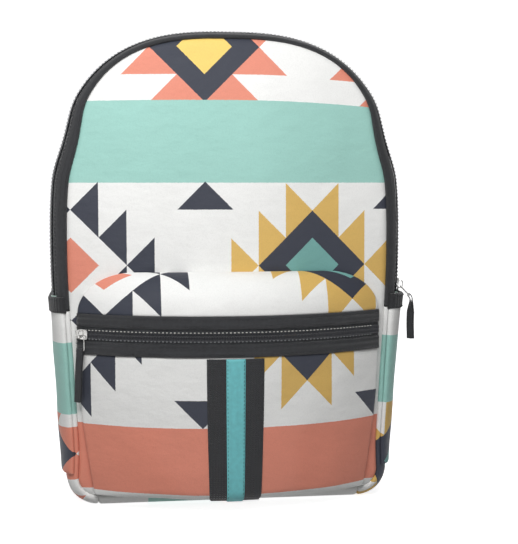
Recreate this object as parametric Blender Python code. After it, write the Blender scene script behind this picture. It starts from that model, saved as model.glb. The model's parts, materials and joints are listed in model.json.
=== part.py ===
# Neoprene backpack: sewn panels round an open inside, arched main zip, zipped front pocket,
# side pockets, padded straps. Metres, +Z up, the front faces -Y, the base stands on z = 0.

import math

import bpy
import bmesh
import numpy as np
from mathutils import Vector

# Body outline, seen from the front
BODY_HEIGHT = 0.427
BODY_HALF = 0.158          # at the widest height
WIDEST_Z = 0.235
ARCH_POWER = 2.8           # squareness of the domed top
FLOOR_HALF = 0.118         # flat part of the base
CORNER_RADIUS = 0.030
TRACK_RADIUS = 0.954       # of the side, where the main slider runs

# Body section, from front to back
FRONT_Y = -0.050
BACK_Y = 0.055
FRONT_INSET = 0.014        # how far the front seam lies inside the outline
FRONT_ROUND = 0.028
FLOOR_INSET = 0.010
FLOOR_ROUND = 0.012
FLOOR_BLEND_Z = 0.060      # above this the section is the side's
BACK_INSET = 0.009
BACK_ROUND = 0.010
FRONT_CROWN = 0.010        # bulge of the filled front panel

# Cloth, webbing and gaps
NEOPRENE = 0.003
BINDING = 0.0016           # woven binding and zip tape
GAP = 0.0003               # between sewn neighbours
SEAM = 0.0004              # half the gap along a sewn edge

# Main zip, lengths measured along the section from the front seam
ZIP_END_Z = 0.176
FRONT_BINDING_WIDTH = 0.0135
TAPE_WIDTH = 0.0085
SLOT = 0.0014              # between the two rows of teeth
REAR_BINDING_WIDTH = 0.010
TEETH_WIDTH = 0.0030
TEETH_HEIGHT = 0.0014
END_TAB_HEIGHT = 0.007
END_TAB_HALF = 0.007
SLOT_MIDDLE = FRONT_BINDING_WIDTH + TAPE_WIDTH + SLOT / 2

# Front pocket
POCKET_HALF = 0.1365
POCKET_FOOT_HALF = 0.123
POCKET_TOP_HALF = 0.088    # where its top seam straightens
POCKET_DEPTH = 0.043
POCKET_FOOT_Z = 0.0125
POCKET_TOP_Z = 0.211
POCKET_ZIP_LOW = 0.1405
POCKET_ZIP_HIGH = 0.174
POCKET_FOOT_ROUND = 0.010
POCKET_BINDING = 0.0105
POCKET_SEAT = NEOPRENE + 2 * GAP   # from the front panel to the face of the pocket's sewn edge
SPINE_WIDTH = 0.0500       # black webbing down the pocket's middle
RIBBON_WIDTH = 0.0165
SPINE_THICK = 0.0014
RIBBON_THICK = 0.0008

# Side pockets
MOUTH_Z = 0.188
SIDE_FOOT_Z = 0.030
MOUTH_BULGE = 0.0085
FOOT_BULGE = 0.0005
SIDE_POCKET_CLOTH = 0.0020
ELASTIC_HEIGHT = 0.014
ELASTIC_THICK = 0.0010
SIDE_EDGE = 0.004          # in from the front and back seams
SIDE_STANDOFF = 0.0006     # sewn edge to gusset

# Back, straps and haul loop
PAD_HALF = 0.105
PAD_LOW = 0.108
PAD_HIGH = BODY_HEIGHT - 0.109
PAD_THICK = 0.007
PAD_CORNER = 0.025
YOKE_HALF = 0.088
YOKE_LOW = BODY_HEIGHT - 0.075
YOKE_HIGH = BODY_HEIGHT - 0.043
YOKE_THICK = 0.004
STRAP_WIDTH = 0.060
STRAP_END_WIDTH = 0.034
STRAP_THICK = 0.010
STRAP_EDGE_THICK = 0.004   # where it is sewn flat
STRAP_SEWN = 0.028         # over which it thins to that
STRAP_TAPER = 0.070        # over which it narrows
STRAP_TOP_X = 0.050
STRAP_END_X = 0.096
STRAP_END_Z = 0.150
STRAP_STANDOFF = 0.027
STRAP_END_STANDOFF = 0.018
WEBBING_WIDTH = 0.025
WEBBING_THICK = 0.0015
TAIL_LENGTH = 0.060
LOCK_LENGTH = 0.030        # first bar to last bar
LOCK_WIDTH = 0.034
LOCK_THICK = 0.004
LOCK_BAR = 0.0035
LOCK_DROP = 0.021          # strap end to the middle of the lock
TAB_OVERLAP = 0.010
CORNER_TAB_X = 0.122
CORNER_TAB_LOW = 0.026
CORNER_TAB_HIGH = 0.056
CORNER_TAB_HALF = 0.015
CORNER_TAB_THICK = 0.003
CORNER_TAB_CORNER = 0.004
WEBBING_LEAN = 0.004       # by which the webbing leaves the tab nearer to the middle
LOOP_HALF = 0.052
LOOP_FLAT = 0.012          # sewn down at each end
LOOP_REACH = 0.024
LOOP_WIDTH = 0.020
LOOP_THICK = 0.0022

# Sliders and pulls, one pattern for both zips
SLIDER_LENGTH = 0.013
SLIDER_WIDTH = 0.0088
PLATE = 0.0012
NECK = 0.0007
NECK_LENGTH = 0.003
RUN_CLEAR = 0.0004         # slider to teeth and tape
CURVE_CLEAR = SLIDER_WIDTH ** 2 / (8 * FRONT_ROUND)   # by which the curved tape nears the lower plate
BAIL_LENGTH = 0.0070
BAIL_HEIGHT = 0.0040
BAIL_WIDTH = 0.0016
BAIL_WALL = 0.0009
RING_LENGTH = 0.0125
RING_WIDTH = 0.0095
RING_WIRE = 0.0010
RING_SEAT = RING_WIRE / 2 + 0.0003   # crossbar to the leg that it hangs on
PULL_WIDTH = 0.0065
PULL_CLOTH = 0.0008
PULL_LENGTH = 0.046
MAIN_SLIDER_Z = 0.196
MAIN_RING_TILT = 46.0      # degrees, leaning on the side pocket's mouth
POCKET_SLIDER_SHARE = -0.95   # of the half arc, from the pocket's middle
POCKET_PULL_DRIFT = 0.004


def material(name, colour, roughness, metallic=0.0):
    mat = bpy.data.materials.new(name)
    mat.use_nodes = True
    shader = mat.node_tree.nodes["Principled BSDF"]
    shader.inputs["Base Color"].default_value = (*colour, 1.0)
    shader.inputs["Roughness"].default_value = roughness
    shader.inputs["Metallic"].default_value = metallic
    return mat


def add_object(name, bm, look, smooth=True):
    bmesh.ops.recalc_face_normals(bm, faces=bm.faces)
    mesh = bpy.data.meshes.new(name)
    bm.to_mesh(mesh)
    bm.free()
    mesh.materials.append(material(name, *look))
    if smooth:
        mesh.shade_smooth()
        mesh.set_sharp_from_angle(angle=math.radians(35))
    obj = bpy.data.objects.new(name, mesh)
    bpy.context.scene.collection.objects.link(obj)
    return obj


def shell(name, outer, inner, look):
    """Closed sheet between two equal grids of points."""
    bm = bmesh.new()
    rows, cols = outer.shape[:2]
    faces = [[bm.verts.new(tuple(p)) for p in row] for row in outer.astype(float)]
    backs = [[bm.verts.new(tuple(p)) for p in row] for row in inner.astype(float)]
    for i in range(rows - 1):
        for j in range(cols - 1):
            bm.faces.new((faces[i][j], faces[i + 1][j], faces[i + 1][j + 1], faces[i][j + 1]))
            bm.faces.new((backs[i][j], backs[i][j + 1], backs[i + 1][j + 1], backs[i + 1][j]))
    for i in range(rows - 1):
        for j in (0, cols - 1):
            bm.faces.new((faces[i][j], faces[i + 1][j], backs[i + 1][j], backs[i][j]))
    for j in range(cols - 1):
        for i in (0, rows - 1):
            bm.faces.new((faces[i][j], faces[i][j + 1], backs[i][j + 1], backs[i][j]))
    return add_object(name, bm, look)


# The outline, as arc length from the middle of the base round to the right, over the top and back

def outline_half():
    """Right half of the outline, from the middle of the base to the top."""
    points = [(0.0, 0.0), (FLOOR_HALF / 2, 0.0)]
    low_x = BODY_HALF - (WIDEST_Z - ZIP_END_Z) ** 2 / (2 * TRACK_RADIUS)
    side_x = FLOOR_HALF + CORNER_RADIUS
    for k in range(25):
        a = k / 24 * math.pi / 2
        points.append((FLOOR_HALF + CORNER_RADIUS * math.sin(a), CORNER_RADIUS * (1 - math.cos(a))))
    for k in range(1, 30):
        t = k / 30
        points.append((side_x + (low_x - side_x) * t, CORNER_RADIUS + (ZIP_END_Z - CORNER_RADIUS) * t))
    for k in range(30):
        z = ZIP_END_Z + (WIDEST_Z - ZIP_END_Z) * k / 30
        points.append((BODY_HALF - (WIDEST_Z - z) ** 2 / (2 * TRACK_RADIUS), z))
    for k in range(161):
        a = k / 160 * math.pi / 2
        x = BODY_HALF * math.cos(a) ** (2 / ARCH_POWER) if k < 160 else 0.0
        points.append((x, WIDEST_Z + (BODY_HEIGHT - WIDEST_Z) * math.sin(a) ** (2 / ARCH_POWER)))
    return np.array(points)


HALF = outline_half()
LOOP = np.vstack([HALF, (HALF * [-1, 1])[-2:0:-1], HALF[:1]])
RUN = np.concatenate([[0], np.cumsum(np.linalg.norm(np.diff(LOOP, axis=0), axis=1))])
TOTAL = RUN[-1]


def outline(a):
    """Point and outward normal at arc length a."""
    step = 0.0015
    here = np.array([np.interp(a % TOTAL, RUN, LOOP[:, k]) for k in (0, 1)])
    ahead = np.array([np.interp((a + step) % TOTAL, RUN, LOOP[:, k]) for k in (0, 1)])
    behind = np.array([np.interp((a - step) % TOTAL, RUN, LOOP[:, k]) for k in (0, 1)])
    along = (ahead - behind) / np.linalg.norm(ahead - behind)
    return here, np.array([along[1], -along[0]])


def arc_at_height(z):
    """Arc length of the right side's point at height z."""
    side = len(HALF)
    return float(np.interp(z, LOOP[2:side, 1], RUN[2:side]))


def section_curve(inset, rounding):
    """Inset and depth along the section, front seam to back seam."""
    points = []
    for k in range(17):
        a = k / 16 * math.pi / 2
        points.append((inset * (1 - math.sin(a)), FRONT_Y + rounding * (1 - math.cos(a))))
    for k in range(1, 16):
        points.append((0.0, FRONT_Y + rounding + (BACK_Y - BACK_ROUND - FRONT_Y - rounding) * k / 16))
    for k in range(9):
        b = k / 8 * math.pi / 2
        points.append((BACK_INSET * (1 - math.cos(b)), BACK_Y - BACK_ROUND + BACK_ROUND * math.sin(b)))
    return np.array(points)


SIDE_SECTION = section_curve(FRONT_INSET, FRONT_ROUND)
FLOOR_SECTION = section_curve(FLOOR_INSET, FLOOR_ROUND)
SIDE_RUN = np.concatenate([[0], np.cumsum(np.linalg.norm(np.diff(SIDE_SECTION, axis=0), axis=1))])
FLOOR_RUN = np.concatenate([[0], np.cumsum(np.linalg.norm(np.diff(FLOOR_SECTION, axis=0), axis=1))])
SECTION_LENGTH = SIDE_RUN[-1]


def section(q, z):
    """Inset and depth at length q along the section, for a stretch of the outline at height z."""
    t = min(max(z / FLOOR_BLEND_Z, 0.0), 1.0)
    t = t * t * (3 - 2 * t)
    side = np.array([np.interp(q, SIDE_RUN, SIDE_SECTION[:, k]) for k in (0, 1)])
    share = q / SECTION_LENGTH * FLOOR_RUN[-1]
    floor = np.array([np.interp(share, FLOOR_RUN, FLOOR_SECTION[:, k]) for k in (0, 1)])
    return floor + (side - floor) * t


def body_point(a, q):
    here, normal = outline(a)
    inset, depth = section(q, here[1])
    flat = here - normal * inset
    return np.array([flat[0], depth, flat[1]])


def body_normal(a, q):
    d = 0.0006
    low = max(q - d, 0.0)
    high = min(q + d, SECTION_LENGTH)
    along = body_point(a + d, q) - body_point(a - d, q)
    across = body_point(a, high) - body_point(a, low)
    n = np.cross(across, along)
    return n / np.linalg.norm(n)


def body_grid(arcs, lengths, lift=0.0):
    return np.array([[body_point(a, q) + body_normal(a, q) * lift for q in lengths] for a in arcs])


def body_strip(name, arcs, lengths, thick, look, lift=0.0):
    """Sheet that follows the body, its outer face raised by lift."""
    outer = body_grid(arcs, lengths, lift)
    inner = body_grid(arcs, lengths, lift - thick)
    return shell(name, outer, inner, look)


def spaced(low, high, step):
    return np.linspace(low, high, max(2, int(math.ceil((high - low) / step)) + 1))


def section_marks(low, high):
    """Lengths that follow the section closely where it is round."""
    marks = [low, high]
    round_front = np.linspace(0, FRONT_ROUND * 1.15, 6)
    round_back = SECTION_LENGTH - np.linspace(0, BACK_ROUND * 1.5, 4)
    marks += [q for q in (*round_front, *round_back) if low + 0.001 < q < high - 0.001]
    return np.array(sorted(marks))


# Looks: colour, roughness, metallic

MINT = ((0.36, 0.60, 0.54), 0.75)
WHITE = ((0.85, 0.85, 0.84), 0.75)
CORAL = ((0.80, 0.30, 0.22), 0.75)
BLACK = ((0.035, 0.035, 0.04), 0.85)
TEAL = ((0.10, 0.45, 0.50), 0.7)
STEEL = ((0.55, 0.55, 0.56), 0.32, 1.0)
PLASTIC = ((0.02, 0.02, 0.022), 0.45)


# Stations round the outline, shared by every panel so that their edges match

ZIP_END = arc_at_height(ZIP_END_Z)
SIDE_LINE_START = FLOOR_HALF + CORNER_RADIUS * math.pi / 2
FLOOR_ARCS = spaced(-FLOOR_HALF + SEAM, FLOOR_HALF - SEAM, 0.04)
SIDE_ARCS = np.concatenate([spaced(FLOOR_HALF + SEAM, SIDE_LINE_START, 0.012),
                            spaced(SIDE_LINE_START, ZIP_END - SEAM, 0.030)[1:]])
ZIP_ARCS = spaced(ZIP_END + SEAM, TOTAL - ZIP_END - SEAM, 0.0165)
RIM_ARCS = np.concatenate([FLOOR_ARCS, SIDE_ARCS, ZIP_ARCS, TOTAL - SIDE_ARCS[::-1]])


# Front and back panels

def rim(inset, arcs):
    """Rim points of a panel that lies inset inside the outline."""
    points = []
    for a in arcs:
        here, normal = outline(a)
        points.append(here - normal * inset(here[1]))
    return np.array(points)


def front_rim_inset(z):
    return section(0.0, z)[0] + SEAM


def back_rim_inset(z):
    return section(SECTION_LENGTH, z)[0] + SEAM


def crowned_panel(name, inset, face_y, crown, side, look):
    """Domed panel inside the gusset, as rings round its middle; side is the way its face points."""
    thick = NEOPRENE
    edge = rim(inset, RIM_ARCS)
    centre = np.array([0.0, WIDEST_Z - 0.02])
    bm = bmesh.new()
    layers = []
    for back in (False, True):
        rings = []
        for r in (1.0, 0.85, 0.6, 0.3) if crown else (1.0,):
            ring = []
            for p in edge:
                flat = centre + (p - centre) * r
                y = face_y + crown * (1 - r * r) - (side * thick if back else 0.0)
                ring.append(bm.verts.new((flat[0], y, flat[1])))
            rings.append(ring)
        middle = bm.verts.new((centre[0], face_y + crown - (side * thick if back else 0.0), centre[1]))
        for a, b in zip(rings, rings[1:]):
            for k in range(len(a)):
                m = (k + 1) % len(a)
                bm.faces.new((a[k], a[m], b[m], b[k]))
        for k in range(len(ring)):
            bm.faces.new((ring[k], ring[(k + 1) % len(ring)], middle))
        layers.append(rings[0])
    for k in range(len(edge)):
        m = (k + 1) % len(edge)
        bm.faces.new((layers[0][k], layers[0][m], layers[1][m], layers[1][k]))
    return add_object(name, bm, look)


def front_panel_y(x, z):
    """Depth of the front panel's face at a point seen from the front."""
    centre = np.array([0.0, WIDEST_Z - 0.02])
    edge = FRONT_EDGE - centre
    way = np.array([x, z]) - centre
    reach = np.linalg.norm(way)
    if reach < 1e-6:
        return FRONT_Y - FRONT_CROWN
    angles = np.unwrap(np.arctan2(edge[:, 1], edge[:, 0]))
    angle = math.atan2(way[1], way[0])
    while angle < angles[0]:
        angle += 2 * math.pi
    r = reach / np.interp(angle, angles, np.linalg.norm(edge, axis=1))
    return FRONT_Y - FRONT_CROWN * (1 - min(r, 1.0) ** 2)


FRONT_EDGE = rim(front_rim_inset, RIM_ARCS)


def build_body():
    crowned_panel("front_panel", front_rim_inset, FRONT_Y, -FRONT_CROWN, -1, MINT)
    crowned_panel("back_panel", back_rim_inset, BACK_Y, 0.0, 1, BLACK)
    lengths = section_marks(0.0, SECTION_LENGTH)
    body_strip("bottom_panel", FLOOR_ARCS, lengths, NEOPRENE, WHITE)
    body_strip("side_gusset_right", SIDE_ARCS, lengths, NEOPRENE, WHITE)
    body_strip("side_gusset_left", TOTAL - SIDE_ARCS[::-1], lengths, NEOPRENE, WHITE)


def build_main_zip():
    arcs = ZIP_ARCS
    q = 0.0
    q_next = q + FRONT_BINDING_WIDTH
    body_strip("main_zip_front_binding", arcs, section_marks(q, q_next - SEAM), BINDING, BLACK)
    q = q_next
    q_next = q + TAPE_WIDTH
    body_strip("main_zip_front_tape", arcs, np.linspace(q, q_next, 3), BINDING, BLACK)
    teeth = np.array([q_next - TEETH_WIDTH, q_next])
    body_strip("main_zip_front_teeth", arcs, teeth, TEETH_HEIGHT, BLACK, GAP + TEETH_HEIGHT)
    q = q_next + SLOT
    q_next = q + TAPE_WIDTH
    body_strip("main_zip_rear_tape", arcs, np.linspace(q, q_next, 3), BINDING, BLACK)
    teeth = np.array([q, q + TEETH_WIDTH])
    body_strip("main_zip_rear_teeth", arcs, teeth, TEETH_HEIGHT, BLACK, GAP + TEETH_HEIGHT)
    q = q_next + SEAM
    q_next = q + REAR_BINDING_WIDTH
    body_strip("main_zip_rear_binding", arcs, np.linspace(q, q_next, 2), BINDING, BLACK)
    top = section_marks(q_next + SEAM, SECTION_LENGTH)
    body_strip("top_gusset", arcs, top, NEOPRENE, WHITE)
    tab_low = arc_at_height(MAIN_SLIDER_Z) - SLIDER_LENGTH / 2 - END_TAB_HEIGHT - RUN_CLEAR
    tab = spaced(tab_low, tab_low + END_TAB_HEIGHT, 0.01)
    across = np.linspace(SLOT_MIDDLE - END_TAB_HALF, SLOT_MIDDLE + END_TAB_HALF, 5)
    lift = 2 * GAP + TEETH_HEIGHT + BINDING / 2
    body_strip("main_zip_end_tab_right", tab, across, BINDING / 2, MINT, lift)
    body_strip("main_zip_end_tab_left", TOTAL - tab[::-1], across, BINDING / 2, MINT, lift)


# Front pocket: each level is one circular arc seen from above

def pocket_half(z):
    """Half width of the pocket: narrower at its foot, rounded off above its zip."""
    if z > POCKET_ZIP_HIGH:
        t = min((z - POCKET_ZIP_HIGH) / (POCKET_TOP_Z - POCKET_ZIP_HIGH), 1.0)
        return POCKET_TOP_HALF + (POCKET_HALF - POCKET_TOP_HALF) * math.sqrt(1 - t * t)
    t = min(max((z - POCKET_FOOT_Z) / (POCKET_ZIP_LOW - POCKET_FOOT_Z), 0.0), 1.0)
    return POCKET_FOOT_HALF + (POCKET_HALF - POCKET_FOOT_HALF) * math.sin(t * math.pi / 2)


def pocket_seat(z):
    """Depth of the pocket's sewn edge at height z."""
    if POCKET_ZIP_LOW - 1e-6 <= z <= POCKET_ZIP_HIGH + 1e-6:
        z = (POCKET_ZIP_LOW + POCKET_ZIP_HIGH) / 2
    return front_panel_y(pocket_half(z), z) - POCKET_SEAT


def pocket_profile():
    """Depth and height up the pocket's middle, from its foot to its top seam."""
    top_depth = pocket_seat(POCKET_TOP_Z) - front_panel_y(0.0, POCKET_TOP_Z) + 3 * GAP
    points = [(0.003, POCKET_FOOT_Z), (POCKET_DEPTH * 0.45, POCKET_FOOT_Z)]
    full = POCKET_DEPTH - 0.003
    for k in range(5):
        a = k / 4 * math.pi / 2
        back = POCKET_FOOT_ROUND * (1 - math.sin(a))
        rise = POCKET_FOOT_ROUND * (1 - math.cos(a))
        points.append((full - back, POCKET_FOOT_Z + rise))
    straight = POCKET_FOOT_Z + POCKET_FOOT_ROUND
    for k in range(1, 5):
        t = k / 4
        z = straight + (POCKET_ZIP_LOW - straight) * t
        points.append((full + (POCKET_DEPTH - full) * math.sin(t * math.pi / 2), z))
    face_end = len(points) - 1
    points.append((POCKET_DEPTH, POCKET_ZIP_HIGH))
    for k in range(1, 7):
        a = k / 6 * math.pi / 2
        depth = top_depth + (POCKET_DEPTH - top_depth) * math.cos(a)
        points.append((depth, POCKET_ZIP_HIGH + (POCKET_TOP_Z - POCKET_ZIP_HIGH) * math.sin(a)))
    return np.array(points), face_end


PROFILE, FACE_END = pocket_profile()
ZIP_SEAT_Y = pocket_seat(POCKET_ZIP_LOW)


def pocket_point(u, depth, z):
    half = pocket_half(z)
    radius = (half ** 2 + depth ** 2) / (2 * depth)
    bend = math.asin(half / radius)
    seat = pocket_seat(z)
    return np.array([radius * math.sin(bend * u), seat + radius - depth - radius * math.cos(bend * u), z])


def pocket_normal(u, k):
    """Outward normal of the pocket at share u of the level k of its profile."""
    before = PROFILE[max(k - 1, 0)]
    after = PROFILE[min(k + 1, len(PROFILE) - 1)]
    up = pocket_point(u, *after) - pocket_point(u, *before)
    here = PROFILE[k]
    across = pocket_point(min(u + 0.01, 1.0), *here) - pocket_point(max(u - 0.01, -1.0), *here)
    n = np.cross(across, up)
    return n / np.linalg.norm(n)


ZIP_DEPTH_RADIUS = (POCKET_HALF ** 2 + POCKET_DEPTH ** 2) / (2 * POCKET_DEPTH)
ZIP_BEND = math.asin(POCKET_HALF / ZIP_DEPTH_RADIUS)
ZIP_CENTRE_Y = ZIP_SEAT_Y + ZIP_DEPTH_RADIUS - POCKET_DEPTH


def pocket_sheet(name, levels, us, thick, look, lift=0.0):
    outer = []
    inner = []
    for k in levels:
        normals = [pocket_normal(u, k) for u in us]
        points = [pocket_point(u, *PROFILE[k]) for u in us]
        outer.append([p + n * lift for p, n in zip(points, normals)])
        inner.append([p + n * (lift - thick) for p, n in zip(points, normals)])
    return shell(name, np.array(outer), np.array(inner), look)


def zip_strip(name, low, high, thick, look, lift=0.0, reach=1.0):
    """Band on the upright cylinder that the pocket's zip follows."""
    us = np.linspace(-reach, reach, 25)
    rings = []
    for radius in (ZIP_DEPTH_RADIUS + lift, ZIP_DEPTH_RADIUS + lift - thick):
        rows = []
        for z in (low, high):
            rows.append([(radius * math.sin(ZIP_BEND * u), ZIP_CENTRE_Y - radius * math.cos(ZIP_BEND * u), z)
                         for u in us])
        rings.append(np.array(rows))
    return shell(name, rings[0], rings[1], look)


def build_pocket():
    us = np.linspace(-1, 1, 21)
    low = POCKET_ZIP_LOW
    high = POCKET_ZIP_HIGH
    middle = (low + high) / 2
    pocket_sheet("pocket_face", range(0, FACE_END + 1), us, NEOPRENE, WHITE)
    pocket_sheet("pocket_top", range(FACE_END + 1, len(PROFILE)), us, NEOPRENE, WHITE)
    zip_strip("pocket_lower_binding", low + SEAM, low + POCKET_BINDING, BINDING, BLACK)
    zip_strip("pocket_upper_binding", high - POCKET_BINDING, high - SEAM, BINDING, BLACK)
    zip_strip("pocket_lower_tape", low + POCKET_BINDING + SEAM, middle - SLOT / 2, BINDING, BLACK)
    zip_strip("pocket_upper_tape", middle + SLOT / 2, high - POCKET_BINDING - SEAM, BINDING, BLACK)
    lift = GAP + TEETH_HEIGHT
    edge = SLOT / 2 + TEETH_WIDTH
    zip_strip("pocket_lower_teeth", middle - edge, middle - SLOT / 2, TEETH_HEIGHT, BLACK, lift)
    zip_strip("pocket_upper_teeth", middle + SLOT / 2, middle + edge, TEETH_HEIGHT, BLACK, lift)
    build_spine()


def build_spine():
    """Webbing and ribbon down the middle of the pocket's face."""
    levels = range(3, FACE_END + 1)
    half_u = math.asin(SPINE_WIDTH / 2 / ZIP_DEPTH_RADIUS) / ZIP_BEND
    ribbon_u = math.asin(RIBBON_WIDTH / 2 / ZIP_DEPTH_RADIUS) / ZIP_BEND
    lift = GAP + SPINE_THICK
    pocket_sheet("pocket_spine_webbing", levels, np.linspace(-half_u, half_u, 5), SPINE_THICK, BLACK, lift)
    lift += GAP + RIBBON_THICK
    pocket_sheet("pocket_spine_ribbon", levels, np.linspace(-ribbon_u, ribbon_u, 3), RIBBON_THICK, TEAL, lift)


# Side pockets: the body's side, pushed out

def side_pocket_lift(share, z):
    """How far the pocket's inner face stands off the gusset."""
    t = (z - SIDE_FOOT_Z) / (MOUTH_Z - SIDE_FOOT_Z)
    bulge = FOOT_BULGE + (MOUTH_BULGE - FOOT_BULGE) * min(max(t, 0.0), 1.0) ** 1.3
    return SIDE_STANDOFF + bulge * (4 * share * (1 - share)) ** 0.6


def side_pocket_sheet(name, mirror, low, high, rows, thick, look, extra=0.0):
    outer = []
    inner = []
    lengths = section_marks(SIDE_EDGE, SECTION_LENGTH - SIDE_EDGE)
    lengths = np.sort(np.append(lengths, SECTION_LENGTH * np.array([0.42, 0.57, 0.72])))
    for z in np.linspace(low, high, rows):
        a = arc_at_height(z)
        row_out = []
        row_in = []
        for q in lengths:
            share = (q - SIDE_EDGE) / (SECTION_LENGTH - 2 * SIDE_EDGE)
            base = body_point(a, q)
            n = body_normal(a, q)
            lift = side_pocket_lift(share, z) + extra
            row_in.append(base + n * lift)
            row_out.append(base + n * (lift + thick))
        outer.append(row_out)
        inner.append(row_in)
    flip = np.array([-1 if mirror else 1, 1, 1])
    return shell(name, np.array(outer) * flip, np.array(inner) * flip, look)


def build_side_pockets():
    for side, mirror in (("right", False), ("left", True)):
        rim_low = MOUTH_Z - ELASTIC_HEIGHT
        side_pocket_sheet("side_pocket_" + side, mirror, SIDE_FOOT_Z, MOUTH_Z - GAP, 7, SIDE_POCKET_CLOTH, WHITE)
        side_pocket_sheet("side_pocket_elastic_" + side, mirror, rim_low, MOUTH_Z, 3, ELASTIC_THICK, BLACK,
                          SIDE_POCKET_CLOTH + GAP)


# Back: pad, yoke, straps, adjusters, haul loop

def rounded_pad(name, centre_x, half, low, high, thick, corner, look):
    """Pad on the back panel with rounded corners, its outer edge eased."""
    y = BACK_Y + GAP
    bm = bmesh.new()
    bmesh.ops.create_cube(bm, size=1.0)
    for v in bm.verts:
        v.co = Vector((centre_x + v.co.x * half * 2, y + thick * (0.5 + v.co.y),
                       (low + high) / 2 + v.co.z * (high - low)))
    upright = [e for e in bm.edges if abs(e.verts[0].co.y - e.verts[1].co.y) > thick / 2]
    bmesh.ops.bevel(bm, geom=upright, offset=corner, segments=5, affect="EDGES", profile=0.5)
    outer = [e for e in bm.edges if min(v.co.y for v in e.verts) > y + thick * 0.9]
    bmesh.ops.bevel(bm, geom=outer, offset=thick * 0.4, segments=2, affect="EDGES", profile=0.5)
    return add_object(name, bm, look)


def catmull(keys, parts):
    """Smooth curve through the points."""
    p = [np.array(k, float) for k in keys]
    p = [2 * p[0] - p[1]] + p + [2 * p[-1] - p[-2]]
    out = []
    for i in range(1, len(p) - 2):
        for k in range(parts):
            t = k / parts
            out.append(0.5 * (2 * p[i] + (p[i + 1] - p[i - 1]) * t
                              + (2 * p[i - 1] - 5 * p[i] + 4 * p[i + 1] - p[i + 2]) * t * t
                              + (3 * p[i] - p[i - 1] - 3 * p[i + 1] + p[i + 2]) * t ** 3))
    out.append(p[-2])
    return np.array(out)


def unit(v):
    return v / np.linalg.norm(v)


def swept_band(name, path, widths, thicks, across, look):
    """Flat band along a path, its long edges eased; across is the way its width runs."""
    ways = np.broadcast_to(across, path.shape)
    bm = bmesh.new()
    rings = []
    for i, p in enumerate(path):
        along = unit(path[min(i + 1, len(path) - 1)] - path[max(i - 1, 0)])
        side = unit(ways[i] - along * np.dot(ways[i], along))
        out = np.cross(side, along)
        w = widths[i] / 2
        h = thicks[i] / 2
        ease = h * 0.5
        ring = [(-w, -h + ease), (-w + ease, -h), (w - ease, -h), (w, -h + ease),
                (w, h - ease), (w - ease, h), (-w + ease, h), (-w, h - ease)]
        rings.append([bm.verts.new(tuple(p + side * s + out * o)) for s, o in ring])
    for a, b in zip(rings, rings[1:]):
        for k in range(8):
            bm.faces.new((a[k], a[(k + 1) % 8], b[(k + 1) % 8], b[k]))
    bm.faces.new(rings[0])
    bm.faces.new(rings[-1])
    return add_object(name, bm, look)


def blocks(name, boxes, place, look):
    """Union of boxes given by low and high corners, each point placed by a function."""
    cuts = [sorted({round(b[end][axis], 7) for b in boxes for end in (0, 1)}) for axis in range(3)]
    filled = set()
    for low, high in boxes:
        spans = []
        for axis in range(3):
            spans.append([k for k in range(len(cuts[axis]) - 1)
                          if cuts[axis][k] > low[axis] - 1e-6 and cuts[axis][k + 1] < high[axis] + 1e-6])
        filled.update((i, j, k) for i in spans[0] for j in spans[1] for k in spans[2])
    bm = bmesh.new()
    verts = {}

    def vert(i, j, k):
        if (i, j, k) not in verts:
            verts[(i, j, k)] = bm.verts.new(tuple(place(cuts[0][i], cuts[1][j], cuts[2][k])))
        return verts[(i, j, k)]

    for cell in filled:
        for axis in range(3):
            for end in (0, 1):
                beside = list(cell)
                beside[axis] += 1 if end else -1
                if tuple(beside) in filled:
                    continue
                quad = []
                for da, db in ((0, 0), (1, 0), (1, 1), (0, 1)):
                    corner = list(cell)
                    corner[axis] += end
                    corner[(axis + 1) % 3] += da
                    corner[(axis + 2) % 3] += db
                    quad.append(vert(*corner))
                bm.faces.new(quad)
    return add_object(name, bm, look, smooth=False)


def placer(origin, first, second, third):
    """Places local points on three directions at an origin."""
    return lambda a, b, c: origin + first * a + second * b + third * c


def mirrored(points, sign):
    return np.array(points) * np.array([sign, 1.0, 1.0])


def strap_end(rest):
    """Lower end of the right strap, and the way its webbing leaves it."""
    end = np.array([STRAP_END_X, rest + STRAP_END_STANDOFF, STRAP_END_Z])
    target = np.array([CORNER_TAB_X - WEBBING_LEAN, rest + CORNER_TAB_THICK, CORNER_TAB_HIGH])
    return end, unit(target - end)


def strap_path(rest):
    """Middle line of the right strap, from the yoke down to the lock."""
    end, down = strap_end(rest)
    flat = rest + STRAP_EDGE_THICK / 2 + 2 * GAP
    keys = [(STRAP_TOP_X, flat, YOKE_LOW - 2 * GAP), (STRAP_TOP_X, flat + GAP, YOKE_LOW - 0.005),
            (STRAP_TOP_X, rest + STRAP_THICK / 2 + 0.004, YOKE_LOW - 0.017),
            (STRAP_TOP_X + 0.001, rest + PAD_THICK + STRAP_THICK / 2 + 0.004, PAD_HIGH + 0.004),
            (STRAP_TOP_X + 0.009, rest + STRAP_STANDOFF, PAD_HIGH - 0.035),
            (STRAP_TOP_X + 0.020, rest + STRAP_STANDOFF + 0.002, (PAD_HIGH + STRAP_END_Z) / 2),
            end - down * 0.045, end - down * (TAB_OVERLAP + 0.003), end]
    return catmull(keys, 4)


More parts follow.
